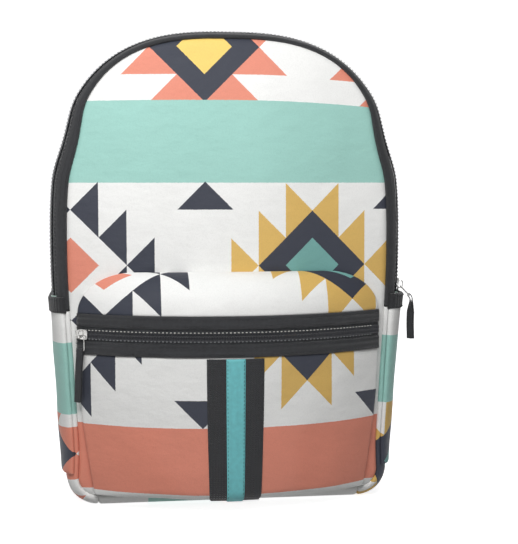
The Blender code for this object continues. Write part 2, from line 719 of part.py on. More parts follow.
def lock_loop_path(end, down, out):
    """Webbing folded through the lock's first bar and sewn to both faces of the strap's end."""
    bar = end + down * (LOCK_DROP - LOCK_LENGTH / 2)
    off = (max(LOCK_THICK, STRAP_EDGE_THICK) + WEBBING_THICK) / 2 + 2 * GAP
    turn = LOCK_BAR / 2 + WEBBING_THICK / 2 + 0.0006
    front = [end - down * TAB_OVERLAP + out * off, end + out * off, bar + out * off]
    bend = []
    for k in range(1, 8):
        a = k / 8 * math.pi
        swing = math.copysign(abs(math.cos(a)) ** 0.6, math.cos(a)) if k != 4 else 0.0
        bend.append(bar + out * off * swing + down * turn * math.sin(a) ** 0.6)
    back = [bar - out * off, end - out * off, end - down * TAB_OVERLAP - out * off]
    return np.array(front + bend + back)


def webbing_path(middle, down, out, rest):
    """Webbing from the corner tab up behind the lock, through it and down as a free tail."""
    off = LOCK_THICK / 2 + WEBBING_THICK / 2 + 0.0005
    seat = rest + CORNER_TAB_THICK + GAP + WEBBING_THICK / 2
    lower = np.array([CORNER_TAB_X, seat, CORNER_TAB_LOW + 0.004])
    upper = np.array([CORNER_TAB_X - WEBBING_LEAN, seat, CORNER_TAB_HIGH - 0.010])
    lead = middle + down * (LOCK_LENGTH / 2 + 0.006) - out * off
    inside = [middle + down * 0.004 - out * off, middle + down * 0.001 - out * off * 0.72,
              middle - down * 0.0006, middle + down * 0.001 + out * off * 0.72, middle + down * 0.004 + out * off]
    tail = [middle + down * (LOCK_LENGTH / 2 + 0.004) + out * off,
            middle + down * (LOCK_LENGTH / 2 + TAIL_LENGTH / 2) + out * (off + 0.002),
            middle + down * (LOCK_LENGTH / 2 + TAIL_LENGTH) + out * (off + 0.001)]
    climb = catmull([lower, upper, (upper + lead) / 2 + out * 0.001, lead], 3)
    return np.array(list(climb) + inside + tail)


def lock_boxes():
    half = LOCK_WIDTH / 2
    long = LOCK_LENGTH / 2 + LOCK_BAR / 2
    h = LOCK_THICK / 2
    boxes = [((-half, -long, -h), (-half + LOCK_BAR, long, h)), ((half - LOCK_BAR, -long, -h), (half, long, h))]
    for k in range(4):
        b = -LOCK_LENGTH / 2 + k * LOCK_LENGTH / 3
        boxes.append(((-half, b - LOCK_BAR / 2, -h), (half, b + LOCK_BAR / 2, h)))
    return boxes


def build_strap(side, sign):
    rest = BACK_Y + GAP
    path = mirrored(strap_path(rest), sign)
    run = np.concatenate([[0], np.cumsum(np.linalg.norm(np.diff(path, axis=0), axis=1))])
    widths = []
    thicks = []
    for r in run:
        left = run[-1] - r
        widths.append(STRAP_WIDTH + (STRAP_END_WIDTH - STRAP_WIDTH) * max(0.0, 1 - left / STRAP_TAPER) ** 1.6)
        thin = max(1 - r / STRAP_SEWN, min(1.0, 1 + (TAB_OVERLAP + 0.002 - left) / STRAP_SEWN), 0.0)
        thicks.append(STRAP_THICK + (STRAP_EDGE_THICK - STRAP_THICK) * thin)
    level = np.array([1.0, 0.0, 0.0])
    swept_band("shoulder_strap_" + side, path, widths, thicks, level, BLACK)
    end, down = (mirrored(v, sign) for v in strap_end(rest))
    across = unit(level - down * down[0])
    out = np.cross(across, down)
    if out[1] < 0:
        out = -out
    loop = lock_loop_path(end, down, out)
    swept_band("lock_loop_" + side, loop, [WEBBING_WIDTH] * len(loop), [WEBBING_THICK] * len(loop), across, BLACK)
    middle = end + down * LOCK_DROP
    blocks("ladder_lock_" + side, lock_boxes(), placer(middle, across, down, out), PLASTIC)
    flip = np.array([sign, 1.0, 1.0])
    web = webbing_path(middle * flip, down * flip, out * flip, rest) * flip
    level_across = unit(across * [1.0, 0.0, 1.0])
    ways = [level_across + (across - level_across) * min(max((i - 4) / 4, 0.0), 1.0) for i in range(len(web))]
    swept_band("strap_webbing_" + side, web, [WEBBING_WIDTH] * len(web), [WEBBING_THICK] * len(web), ways, BLACK)
    rounded_pad("corner_tab_" + side, sign * CORNER_TAB_X, CORNER_TAB_HALF, CORNER_TAB_LOW, CORNER_TAB_HIGH,
                CORNER_TAB_THICK, CORNER_TAB_CORNER, BLACK)


def build_haul_loop():
    rest = BACK_Y + GAP + LOOP_THICK / 2
    z = YOKE_HIGH + GAP + LOOP_WIDTH / 2 + 0.001
    keys = []
    for x, reach in ((LOOP_HALF, 0), (LOOP_HALF - LOOP_FLAT, 0), (LOOP_HALF - LOOP_FLAT - 0.008, 0.35), (0.015, 0.93)):
        keys.append((x, rest + LOOP_REACH * reach, z))
    keys = keys + [(0.0, rest + LOOP_REACH, z)] + [(-x, y, h) for x, y, h in keys[::-1]]
    path = catmull(keys, 4)
    path[:, 1] = np.maximum(path[:, 1], rest)
    swept_band("haul_loop", path, [LOOP_WIDTH] * len(path), [LOOP_THICK] * len(path),
               np.array([0.0, 0.0, 1.0]), BLACK)


def build_back():
    rounded_pad("back_pad", 0.0, PAD_HALF, PAD_LOW, PAD_HIGH, PAD_THICK, PAD_CORNER, BLACK)
    rounded_pad("yoke", 0.0, YOKE_HALF, YOKE_LOW, YOKE_HIGH, YOKE_THICK, CORNER_TAB_CORNER, BLACK)
    for side, sign in (("right", 1.0), ("left", -1.0)):
        build_strap(side, sign)
    build_haul_loop()


# Sliders and their pulls

def move_origin(obj, point):
    """Puts the object's origin on its joint's axis, its mesh staying where it is."""
    for v in obj.data.vertices:
        v.co -= Vector(point)
    obj.location = Vector(point)


def slider_boxes(turned):
    """Plates, neck and bail; travel, across, out. The bail lies along travel, or across when turned."""
    top = GAP + TEETH_HEIGHT + RUN_CLEAR
    under = -BINDING - RUN_CLEAR - CURVE_CLEAR
    long = SLIDER_LENGTH / 2
    wide = SLIDER_WIDTH / 2
    deck = top + PLATE
    boxes = [((-long, -wide, top), (long, wide, deck)),
             ((-long, -wide, under - PLATE), (long, wide, under)),
             ((long - NECK_LENGTH - 0.001, -NECK / 2, under), (long - 0.001, NECK / 2, top))]
    b = BAIL_LENGTH / 2
    w = BAIL_WIDTH / 2
    bail = [((-b, -w, deck), (-b + BAIL_WALL, w, deck + BAIL_HEIGHT)),
            ((b - BAIL_WALL, -w, deck), (b, w, deck + BAIL_HEIGHT)),
            ((-b, -w, deck + BAIL_HEIGHT - BAIL_WALL), (b, w, deck + BAIL_HEIGHT))]
    for low, high in bail:
        if turned:
            low, high = (low[1], low[0], low[2]), (high[1], high[0], high[2])
        boxes.append((low, high))
    return boxes


def hinge_point(origin, hang, out):
    """Middle of the ring's crossbar, which hangs on the bail's lower leg."""
    height = GAP + TEETH_HEIGHT + RUN_CLEAR + PLATE + (BAIL_HEIGHT - BAIL_WALL) / 2
    drop = BAIL_LENGTH / 2 - BAIL_WALL - RING_SEAT
    return origin + out * height + hang * drop


def ring_boxes():
    """Wire ring from its crossbar in the bail to its end bar; hang, cross, out."""
    w = RING_WIRE / 2
    half = RING_WIDTH / 2
    return [((-w, -half, -w), (w, half, w)),
            ((RING_LENGTH - 2 * w, -half, -w), (RING_LENGTH, half, w)),
            ((-w, -half, -w), (RING_LENGTH, -half + 2 * w, w)),
            ((-w, half - 2 * w, -w), (RING_LENGTH, half, w))]


def folded_ribbon(keys, spread):
    """Ribbon folded through the ring, two legs either side of a middle line of 2-D points."""
    middle = catmull(keys, 4)
    legs = ([], [])
    wide = RING_WIRE / 2 + PULL_CLOTH / 2 + 0.0004
    thin = PULL_CLOTH / 2 + 0.00025
    last = len(middle) - 1
    for i, p in enumerate(middle):
        along = unit(middle[min(i + 1, last)] - middle[max(i - 1, 0)])
        side = np.array([-along[1], along[0]])
        run = np.linalg.norm(p - middle[0])
        off = thin + (wide - thin) * max(0.0, 1 - run / 0.006) + spread * max(0.0, (i / last - 0.75) * 4)
        legs[0].append(p + side * off)
        legs[1].append(p - side * off)
    start = unit(middle[1] - middle[0])
    side = np.array([-start[1], start[0]])
    bend = []
    for k in range(1, 6):
        a = math.pi * k / 6
        bend.append(middle[0] + side * wide * math.cos(a) - start * wide * math.sin(a))
    return np.array(legs[0][::-1] + bend + legs[1])


def build_pull(name, hinge, hang, cross, out, tilt, keys, spread, drift):
    """Ring and ribbon; keys are points of the ribbon's middle, from the hinge, hang then out."""
    c = math.cos(math.radians(tilt))
    s = math.sin(math.radians(tilt))
    ring_hang = hang * c + out * s
    ring_out = out * c - hang * s
    ring = blocks(name + "_ring", ring_boxes(), placer(hinge, ring_hang, cross, ring_out), STEEL)
    reach = RING_LENGTH - RING_WIRE / 2
    start = np.array([reach * c, reach * s])
    flat = folded_ribbon([start] + [start + np.array(k) for k in keys], spread)
    longest = flat[:, 0].max()
    path = []
    for h, o in flat:
        path.append(hinge + hang * h + out * o + cross * drift * (max(h - reach, 0.0) / longest))
    path = np.array(path)
    ribbon = swept_band(name + "_ribbon", path, [PULL_WIDTH] * len(path), [PULL_CLOTH] * len(path), cross, BLACK)
    for obj in (ring, ribbon):
        move_origin(obj, hinge)


def build_main_slider():
    a = arc_at_height(MAIN_SLIDER_Z)
    origin = body_point(a, SLOT_MIDDLE)
    out = body_normal(a, SLOT_MIDDLE)
    travel = unit(body_point(a + 0.001, SLOT_MIDDLE) - body_point(a - 0.001, SLOT_MIDDLE))
    across = np.cross(out, travel)
    slider = blocks("main_slider", slider_boxes(False), placer(origin, travel, across, out), STEEL)
    move_origin(slider, (BODY_HALF - TRACK_RADIUS, origin[1], WIDEST_Z))
    hinge = hinge_point(origin, -travel, out)
    keys = [(0.002, 0.0018), (0.006, 0.0024), (0.014, 0.0012), (0.026, -0.0008), (PULL_LENGTH - 0.006, -0.0018)]
    build_pull("main_pull", hinge, -travel, across, out, MAIN_RING_TILT, keys, 0.0012, 0.0)


def build_pocket_slider():
    middle = (POCKET_ZIP_LOW + POCKET_ZIP_HIGH) / 2
    angle = ZIP_BEND * POCKET_SLIDER_SHARE
    out = np.array([math.sin(angle), -math.cos(angle), 0.0])
    origin = np.array([0.0, ZIP_CENTRE_Y, middle]) + out * ZIP_DEPTH_RADIUS
    travel = np.array([math.cos(angle), math.sin(angle), 0.0])
    up = np.array([0.0, 0.0, 1.0])
    slider = blocks("pocket_slider", slider_boxes(True), placer(origin, travel, up, out), STEEL)
    move_origin(slider, (0.0, ZIP_CENTRE_Y, middle))
    hinge = hinge_point(origin, -up, out)
    keys = [(0.004, 0.0), (0.014, 0.0004), (0.030, 0.0), (PULL_LENGTH, -0.0004)]
    build_pull("pocket_pull", hinge, -up, travel, out, 0.0, keys, 0.0, -POCKET_PULL_DRIFT)


def build_backpack():
    for old in list(bpy.data.objects):
        bpy.data.objects.remove(old)
    build_body()
    build_main_zip()
    build_pocket()
    build_side_pockets()
    build_back()
    build_main_slider()
    build_pocket_slider()


build_backpack()
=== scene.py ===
# Neoprene backpack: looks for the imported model, front towards -Y, metres, +Z up

import math

import bmesh
import bpy
import numpy as np
from mathutils import Matrix, Vector, noise
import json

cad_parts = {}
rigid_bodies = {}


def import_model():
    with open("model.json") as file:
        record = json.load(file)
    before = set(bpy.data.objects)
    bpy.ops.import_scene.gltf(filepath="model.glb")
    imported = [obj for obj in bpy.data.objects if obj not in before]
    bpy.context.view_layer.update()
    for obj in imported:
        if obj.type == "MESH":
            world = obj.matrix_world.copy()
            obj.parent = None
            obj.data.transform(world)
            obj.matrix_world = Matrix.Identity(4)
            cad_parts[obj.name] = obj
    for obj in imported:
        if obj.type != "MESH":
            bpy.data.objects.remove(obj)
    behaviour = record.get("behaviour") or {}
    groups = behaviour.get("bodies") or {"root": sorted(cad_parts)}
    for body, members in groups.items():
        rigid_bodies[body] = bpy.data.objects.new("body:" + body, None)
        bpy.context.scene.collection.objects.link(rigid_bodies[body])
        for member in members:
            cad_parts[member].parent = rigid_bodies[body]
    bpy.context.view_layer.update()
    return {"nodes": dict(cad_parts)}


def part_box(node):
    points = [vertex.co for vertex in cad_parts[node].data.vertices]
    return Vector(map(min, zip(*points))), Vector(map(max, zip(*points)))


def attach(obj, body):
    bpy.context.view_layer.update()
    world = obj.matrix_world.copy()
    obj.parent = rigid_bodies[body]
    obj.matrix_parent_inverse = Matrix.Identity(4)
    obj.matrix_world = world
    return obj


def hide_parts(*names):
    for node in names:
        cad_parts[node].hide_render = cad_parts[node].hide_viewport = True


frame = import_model()
print("frame loaded")


# Colours and shader nodes

def fromHex(code):
    parts = [int(code[k:k + 2], 16) / 255 for k in (0, 2, 4)]
    return tuple(p / 12.92 if p <= 0.04045 else ((p + 0.055) / 1.055) ** 2.4 for p in parts) + (1.0,)


palette = {
    "white": fromHex("F1F1EF"), "mint": fromHex("9CCDC3"), "coral": fromHex("E38C75"), "yellow": fromHex("F0CE6E"),
    "mustard": fromHex("DDB562"), "navy": fromHex("2F3340"), "teal": fromHex("71A8A3"), "turquoise": fromHex("72CBD0"),
    "black": fromHex("2B2C2F"), "binding": fromHex("2A2B2E"), "tape": fromHex("343639"), "palemint": fromHex("AFC9BE"),
}


def put(tree, kind, links=None, **settings):
    # Adds a node; each input takes a link or a plain value
    node = tree.nodes.new(kind)
    for key, value in settings.items():
        setattr(node, key, value)
    for key, value in (links or {}).items():
        if isinstance(value, bpy.types.NodeSocket):
            tree.links.new(value, node.inputs[key])
        else:
            node.inputs[key].default_value = value
    return node


def calc(tree, operation, a, b=0.0):
    return put(tree, "ShaderNodeMath", {0: a, 1: b}, operation=operation).outputs[0]


def mixed(tree, share, a, b):
    return put(tree, "ShaderNodeMix", {"Factor": share, 6: a, 7: b}, data_type="RGBA").outputs[2]


def ranged(tree, value, low, high, start=0.0, end=1.0):
    return put(tree, "ShaderNodeMapRange", {"Value": value, "From Min": start, "From Max": end,
                                            "To Min": low, "To Max": high}).outputs[0]


def tinted(tree, colour, tone):
    # A colour, from a socket or as three numbers, times a varying tone
    return put(tree, "ShaderNodeVectorMath", {0: colour, "Scale": tone}, operation="SCALE").outputs[0]


def printGroup(name, numbers, colours, build):
    # A step of the print: takes the colour beneath and gives the colour with one figure added
    tree = bpy.data.node_groups.new(name, "ShaderNodeTree")
    tree.interface.new_socket("Place", in_out="INPUT", socket_type="NodeSocketVector")
    tree.interface.new_socket("Beneath", in_out="INPUT", socket_type="NodeSocketColor")
    for label in numbers:
        tree.interface.new_socket(label, in_out="INPUT", socket_type="NodeSocketFloat")
    for label in colours:
        tree.interface.new_socket(label, in_out="INPUT", socket_type="NodeSocketColor")
    tree.interface.new_socket("Colour", in_out="OUTPUT", socket_type="NodeSocketColor")
    given = tree.nodes.new("NodeGroupInput").outputs
    parts = put(tree, "ShaderNodeSeparateXYZ", {0: given["Place"]}).outputs
    result = build(tree, parts["X"], parts["Y"], given)
    put(tree, "NodeGroupOutput", {"Colour": result})
    return tree


def starSteps(tree, x, y, given):
    a = calc(tree, "ABSOLUTE", calc(tree, "SUBTRACT", x, given["Centre X"]))
    b = calc(tree, "ABSOLUTE", calc(tree, "SUBTRACT", y, given["Centre Y"]))
    turned = calc(tree, "ADD", a, calc(tree, "MULTIPLY", calc(tree, "SUBTRACT", b, a), given["Sideways"]))
    span = calc(tree, "ADD", a, b)
    tips = calc(tree, "ADD", calc(tree, "MULTIPLY", calc(tree, "FRACT", turned), 2.0), 2.0)
    tooth = calc(tree, "MULTIPLY", calc(tree, "LESS_THAN", span, tips),
                 calc(tree, "LESS_THAN", turned, given["Reach"]))
    colour = mixed(tree, tooth, given["Beneath"], given["Teeth"])
    colour = mixed(tree, calc(tree, "LESS_THAN", span, 2.0), colour, given["Ring"])
    return mixed(tree, calc(tree, "LESS_THAN", span, 1.0), colour, given["Inner"])


def bandSteps(tree, x, y, given):
    over = calc(tree, "GREATER_THAN", y, given["Low"])
    under = calc(tree, "LESS_THAN", y, given["High"])
    return mixed(tree, calc(tree, "MULTIPLY", over, under), given["Beneath"], given["Fill"])


def peakSteps(tree, x, y, given):
    # Row of small triangles; Way is 1 with the points up and -1 with the points down
    half = calc(tree, "MULTIPLY", given["Period"], 0.5)
    start = calc(tree, "ADD", calc(tree, "SUBTRACT", x, given["Apex X"]), half)
    along = calc(tree, "FLOORED_MODULO", start, given["Period"])
    away = calc(tree, "ABSOLUTE", calc(tree, "SUBTRACT", along, half))
    drop = calc(tree, "MULTIPLY", calc(tree, "SUBTRACT", given["Apex Y"], y), given["Way"])
    inside = calc(tree, "MULTIPLY", calc(tree, "LESS_THAN", drop, given["Size"]),
                  calc(tree, "LESS_THAN", away, drop))
    return mixed(tree, inside, given["Beneath"], given["Fill"])


figures = {  # each with how many of its values are lengths and how many are numbers
    "star": (printGroup("print star", ["Centre X", "Centre Y", "Sideways", "Reach"],
                        ["Inner", "Ring", "Teeth"], starSteps), 2, 4),
    "band": (printGroup("print band", ["Low", "High"], ["Fill"], bandSteps), 2, 2),
    "peaks": (printGroup("print peaks", ["Apex X", "Apex Y", "Period", "Size", "Way"],
                         ["Fill"], peakSteps), 4, 5),
}
printUnit = 0.0244  # one step of the print's grid, metres


def startMaterial(name, roughness, sheen=0.0, metallic=0.0):
    mat = bpy.data.materials.new(name)
    mat.use_nodes = True
    tree = mat.node_tree
    shader = tree.nodes["Principled BSDF"]
    shader.inputs["Roughness"].default_value = roughness
    shader.inputs["Metallic"].default_value = metallic
    shader.inputs["Sheen Weight"].default_value = sheen
    shader.inputs["Sheen Roughness"].default_value = 0.45
    return mat, tree, shader


def uvPlace(tree):
    return put(tree, "ShaderNodeUVMap", uv_map="cloth").outputs[0]


def scaled(tree, vector, x, y, z=1.0):
    return put(tree, "ShaderNodeVectorMath", {0: vector, 1: (x, y, z)}, operation="MULTIPLY").outputs[0]


def noiseAt(tree, vector, scale, detail=3.0):
    return put(tree, "ShaderNodeTexNoise", {"Vector": vector, "Scale": scale, "Detail": detail}).outputs[0]


def bumped(tree, height, distance, strength=1.0, under=None):
    links = {"Height": height, "Distance": distance, "Strength": strength}
    if under is not None:
        links["Normal"] = under
    return put(tree, "ShaderNodeBump", links).outputs[0]


def printedNeoprene(name, steps):
    # Foam neoprene with a smooth printed jersey face
    mat, tree, shader = startMaterial(name, 0.66, sheen=0.12)
    cloth = uvPlace(tree)
    # the ink's edges wander a little along the knit
    wobble = put(tree, "ShaderNodeTexNoise", {"Vector": cloth, "Scale": 900.0, "Detail": 1.0}).outputs[1]
    shift = put(tree, "ShaderNodeVectorMath", {0: wobble, 1: (0.5, 0.5, 0.5)}, operation="SUBTRACT").outputs[0]
    place = put(tree, "ShaderNodeVectorMath", {0: shift, 1: (0.0007,) * 3, 2: cloth},
                operation="MULTIPLY_ADD").outputs[0]
    place = scaled(tree, place, 1 / printUnit, 1 / printUnit)
    colour = palette["white"]
    for kind, *values in steps:
        group, lengths, count = figures[kind]
        node = put(tree, "ShaderNodeGroup", {"Place": place, "Beneath": colour}, node_tree=group)
        for k, value in enumerate(values):
            if k < lengths:
                value = value / printUnit
            node.inputs[2 + k].default_value = value if k < count else palette[value]
        colour = node.outputs[0]
    blotch = noiseAt(tree, cloth, 38.0)
    knit = put(tree, "ShaderNodeTexVoronoi", {"Vector": scaled(tree, cloth, 1500.0, 1100.0), "Scale": 1.0}).outputs[0]
    tone = calc(tree, "MULTIPLY", ranged(tree, blotch, 0.95, 1.03), ranged(tree, knit, 1.02, 0.93, end=0.9))
    tree.links.new(tinted(tree, colour, tone), shader.inputs["Base Color"])
    creases = bumped(tree, noiseAt(tree, scaled(tree, cloth, 1.0, 1.6), 60.0, 2.0), 0.0016, 0.5)
    tree.links.new(bumped(tree, knit, 0.00012, 0.55, creases), shader.inputs["Normal"])
    tree.links.new(ranged(tree, blotch, 0.6, 0.74), shader.inputs["Roughness"])
    return mat


def wovenCloth(name, colour, ribs, picks, roughness=0.82, depth=0.00022, lint=0.35, sheen=0.2):
    # Woven tape; ribs run across the length every so many metres, picks across the width
    mat, tree, shader = startMaterial(name, roughness, sheen=sheen)
    cloth = uvPlace(tree)
    parts = put(tree, "ShaderNodeSeparateXYZ", {0: cloth}).outputs
    rib = calc(tree, "SINE", calc(tree, "MULTIPLY", parts["X"], 2 * math.pi / ribs))
    pick = calc(tree, "SINE", calc(tree, "MULTIPLY", parts["Y"], 2 * math.pi / picks))
    crossed = calc(tree, "MULTIPLY", calc(tree, "MULTIPLY", rib, pick), 0.5)
    weave = calc(tree, "ADD", calc(tree, "MULTIPLY", rib, 0.5), crossed)
    worn = noiseAt(tree, cloth, 240.0, 4.0)
    light = ranged(tree, worn, 0.85, 1.0 + lint, 0.35, 0.75)
    shade = ranged(tree, weave, 0.78, 1.15, -1.0)
    toned = tinted(tree, colour[:3], calc(tree, "MULTIPLY", light, shade))
    tree.links.new(toned, shader.inputs["Base Color"])
    soft = bumped(tree, worn, 0.0004, 0.4)
    tree.links.new(bumped(tree, weave, depth, 0.9, soft), shader.inputs["Normal"])
    tree.links.new(ranged(tree, worn, roughness - 0.08, min(roughness + 0.1, 1.0)), shader.inputs["Roughness"])
    return mat


def knitMesh(name, colour):
    # Open spacer mesh over foam: rows of small round holes
    mat, tree, shader = startMaterial(name, 0.85, sheen=0.3)
    cloth = scaled(tree, uvPlace(tree), 1 / 0.0026, 1 / 0.0022)
    cells = put(tree, "ShaderNodeTexVoronoi", {"Vector": cloth, "Scale": 1.0, "Randomness": 0.12}).outputs[0]
    holes = ranged(tree, cells, 0.0, 1.0, 0.18, 0.34)
    # the holes are painted near black: painted shade down inside them
    tree.links.new(mixed(tree, holes, fromHex("0C0C0D"), colour), shader.inputs["Base Color"])
    tree.links.new(bumped(tree, holes, 0.0006, 0.9), shader.inputs["Normal"])
    tree.links.new(ranged(tree, holes, 1.0, 0.8), shader.inputs["Roughness"])
    return mat


def plainJersey(name, colour):
    # Cloth of one colour, for the lining and for the trim's neoprene
    mat, tree, shader = startMaterial(name, 0.78, sheen=0.25)
    place = put(tree, "ShaderNodeTexCoord").outputs["Object"]
    knit = put(tree, "ShaderNodeTexVoronoi", {"Vector": place, "Scale": 1200.0}).outputs[0]
    worn = noiseAt(tree, place, 90.0, 4.0)
    tree.links.new(tinted(tree, colour[:3], ranged(tree, worn, 0.8, 1.25)), shader.inputs["Base Color"])
    tree.links.new(bumped(tree, knit, 0.00015, 0.6, bumped(tree, worn, 0.0012, 0.4)), shader.inputs["Normal"])
    return mat


def hardFinish(name, colour, roughness, metallic, grain, depth):
    # Moulded or plated part with a fine, slightly uneven surface
    mat, tree, shader = startMaterial(name, roughness, metallic=metallic)
    place = put(tree, "ShaderNodeTexCoord").outputs["Object"]
    worn = noiseAt(tree, place, grain, 5.0)
    tree.links.new(tinted(tree, colour[:3], ranged(tree, worn, 0.82, 1.12)), shader.inputs["Base Color"])
    tree.links.new(ranged(tree, worn, roughness * 0.7, roughness * 1.4), shader.inputs["Roughness"])
    tree.links.new(bumped(tree, worn, depth, 0.5), shader.inputs["Normal"])
    return mat


looks = {
    "lining": plainJersey("black polyester jersey lining", palette["black"]),
    "trim": plainJersey("black jersey faced neoprene", fromHex("242528")),
    "binding": wovenCloth("black grosgrain binding", palette["binding"], 0.0011, 0.0050),
    "tape": wovenCloth("black zip tape", palette["tape"], 0.0007, 0.0007, depth=0.00012),
    "webbing": wovenCloth("black nylon webbing", fromHex("232427"), 0.0018, 0.0024, depth=0.0003, sheen=0.35),
    "ribbon": wovenCloth("turquoise polyester ribbon", palette["turquoise"], 0.0009, 0.0060, roughness=0.62,
                         depth=0.00008, lint=0.0, sheen=0.0),
    "elastic": wovenCloth("black ribbed elastic", fromHex("1E1F22"), 0.0028, 0.0014, depth=0.0004),
    "endTab": wovenCloth("pale mint knit tape", palette["palemint"], 0.0010, 0.0014, lint=0.05),
    "mesh": knitMesh("black spacer mesh", fromHex("27282B")),
    "coil": hardFinish("black nylon coil", fromHex("404145"), 0.36, 0.0, 900.0, 0.00005),
    "thread": hardFinish("black polyester thread", fromHex("202124"), 0.6, 0.0, 2500.0, 0.00005),
    # the grey and pale thread are painted highlight: light-coloured dots standing for glints off the zip coils
    "greyHighlightThread": hardFinish("grey thread painted as coil highlight", fromHex("8B8D90"), 0.55, 0.0, 2500.0, 0.00005),
    "paleHighlightThread": hardFinish("pale thread painted as coil highlight", fromHex("D9D8D2"), 0.6, 0.0, 2500.0, 0.00005),
    "plastic": hardFinish("moulded black acetal", fromHex("17181A"), 0.38, 0.0, 700.0, 0.00006),
    "nickel": hardFinish("nickel plated zinc", fromHex("C9C8C6"), 0.24, 1.0, 500.0, 0.00008),
}
print("materials made")

# Shape of the body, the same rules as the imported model, with its sizes read from the frame

body = {
    "top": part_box("top_gusset")[1].z - 0.004,  # the empty arch sags a little
    "half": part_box("top_gusset")[1].x,
    "frontY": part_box("side_gusset_right")[0].y,
    "backY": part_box("back_panel")[1].y,
    "floorHalf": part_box("bottom_panel")[1].x + 0.0004,
    "widestZ": 0.235,
    "archPower": 2.74,  # squareness of the domed top
    "shoulderIn": 0.0038,  # how far the empty shoulders draw in
    "shoulderZ": 0.330,
    "shoulderReach": 0.040,
    "topTuck": 0.55,  # by how much the front seam lies nearer the rim at the top
    "tuckZ": 0.29,  # where that starts
    "cornerRadius": 0.030,
    "trackRadius": 0.954,
    "zipEndZ": 0.176,
    "frontInset": 0.014,
    "frontRound": 0.028,
    "floorInset": 0.010,
    "floorRound": 0.012,
    "floorBlend": 0.060,
    "backInset": 0.009,
    "backRound": 0.010,
    "crown": 0.010,
    "cloth": 0.003,
}


def outlineHalf():
    b = body
    points = [(0.0, 0.0), (b["floorHalf"] / 2, 0.0)]
    lowX = b["half"] - (b["widestZ"] - b["zipEndZ"]) ** 2 / (2 * b["trackRadius"])
    sideX = b["floorHalf"] + b["cornerRadius"]
    for k in range(25):
        a = k / 24 * math.pi / 2
        points.append((b["floorHalf"] + b["cornerRadius"] * math.sin(a), b["cornerRadius"] * (1 - math.cos(a))))
    for k in range(1, 30):
        t = k / 30
        points.append((sideX + (lowX - sideX) * t, b["cornerRadius"] + (b["zipEndZ"] - b["cornerRadius"]) * t))
    for k in range(30):
        z = b["zipEndZ"] + (b["widestZ"] - b["zipEndZ"]) * k / 30
        points.append((b["half"] - (b["widestZ"] - z) ** 2 / (2 * b["trackRadius"]), z))
    for k in range(161):
        a = k / 160 * math.pi / 2
        x = b["half"] * math.cos(a) ** (2 / b["archPower"]) if k < 160 else 0.0
        z = b["widestZ"] + (b["top"] - b["widestZ"]) * math.sin(a) ** (2 / b["archPower"])
        away = min(abs(z - b["shoulderZ"]) / b["shoulderReach"], 1.0)
        points.append((x - b["shoulderIn"] * math.cos(away * math.pi / 2) ** 2, z))
    return np.array(points)


half = outlineHalf()
loop = np.vstack([half, (half * [-1, 1])[-2:0:-1], half[:1]])
run = np.concatenate([[0], np.cumsum(np.linalg.norm(np.diff(loop, axis=0), axis=1))])
total = run[-1]


def smoothStep(t):
    t = np.clip(t, 0, 1)
    return t * t * (3 - 2 * t)


def unit(v):
    return v / np.maximum(np.linalg.norm(v, axis=-1, keepdims=True), 1e-12)


def outline(a):
    # Place and outward direction at arc length a, seen from the front
    def spot(s):
        s = np.mod(s, total)
        return np.stack([np.interp(s, run, loop[:, k]) for k in (0, 1)], -1)

    along = unit(spot(a + 0.0015) - spot(a - 0.0015))
    return spot(a), np.stack([along[..., 1], -along[..., 0]], -1)


def arcAtHeight(z):
    return float(np.interp(z, loop[2:len(half), 1], run[2:len(half)]))


def sectionCurve(inset, rounding):
    b = body
    points = []
    for k in range(17):
        a = k / 16 * math.pi / 2
        points.append((inset * (1 - math.sin(a)), b["frontY"] + rounding * (1 - math.cos(a))))
    for k in range(1, 16):
        reach = b["backY"] - b["backRound"] - b["frontY"] - rounding
        points.append((0.0, b["frontY"] + rounding + reach * k / 16))
    for k in range(9):
        a = k / 8 * math.pi / 2
        points.append((b["backInset"] * (1 - math.cos(a)),
                       b["backY"] - b["backRound"] + b["backRound"] * math.sin(a)))
    return np.array(points)


def lengthsAlong(curve):
    return np.concatenate([[0], np.cumsum(np.linalg.norm(np.diff(curve, axis=0), axis=1))])


sideSection = sectionCurve(body["frontInset"], body["frontRound"])
floorSection = sectionCurve(body["floorInset"], body["floorRound"])
sideRun = lengthsAlong(sideSection)
floorRun = lengthsAlong(floorSection)
sectionLength = sideRun[-1]


def tuck(z):
    return body["topTuck"] * smoothStep((z - body["tuckZ"]) / (body["top"] - body["tuckZ"]))


def bodyPoint(a, q):
    here, normal = outline(a)
    t = smoothStep(here[..., 1] / body["floorBlend"])
    share = q / sectionLength * floorRun[-1]
    inset, depth = [np.interp(share, floorRun, floorSection[:, k]) * (1 - t)
                    + np.interp(q, sideRun, sideSection[:, k]) * t for k in (0, 1)]
    inset = inset * (1 - tuck(here[..., 1]) * (q < sectionLength / 2))
    return np.stack([here[..., 0] - normal[..., 0] * inset, depth, here[..., 1] - normal[..., 1] * inset], -1)


def bodyNormal(a, q):
    d = 0.0006
    along = bodyPoint(a + d, q) - bodyPoint(a - d, q)
    across = bodyPoint(a, np.minimum(q + d, sectionLength)) - bodyPoint(a, np.maximum(q - d, 0))
    return unit(np.cross(across, along))


def rimInset(q):
    # How far a line at section length q lies inside the outline, by height
    sideInset = np.interp(q, sideRun, sideSection[:, 0])
    floorInset = np.interp(q / sectionLength * floorRun[-1], floorRun, floorSection[:, 0])

    def at(z):
        drawn = 1 - tuck(z) * (q < sectionLength / 2)
        return (floorInset + (sideInset - floorInset) * smoothStep(z / body["floorBlend"])) * drawn
    return at


def rimPoints(q, extra, arcs):
    here, normal = outline(arcs)
    return here - normal * (rimInset(q)(here[:, 1]) + extra)[:, None]


panelCentre = np.array([0.0, body["widestZ"] - 0.02])
seamArcs = np.linspace(0, total, 721)[:-1]
frontEdge = rimPoints(0.0, 0.0004, seamArcs)
edgeAngles = np.unwrap(np.arctan2(*(frontEdge - panelCentre).T[::-1]))
edgeReach = np.linalg.norm(frontEdge - panelCentre, axis=1)


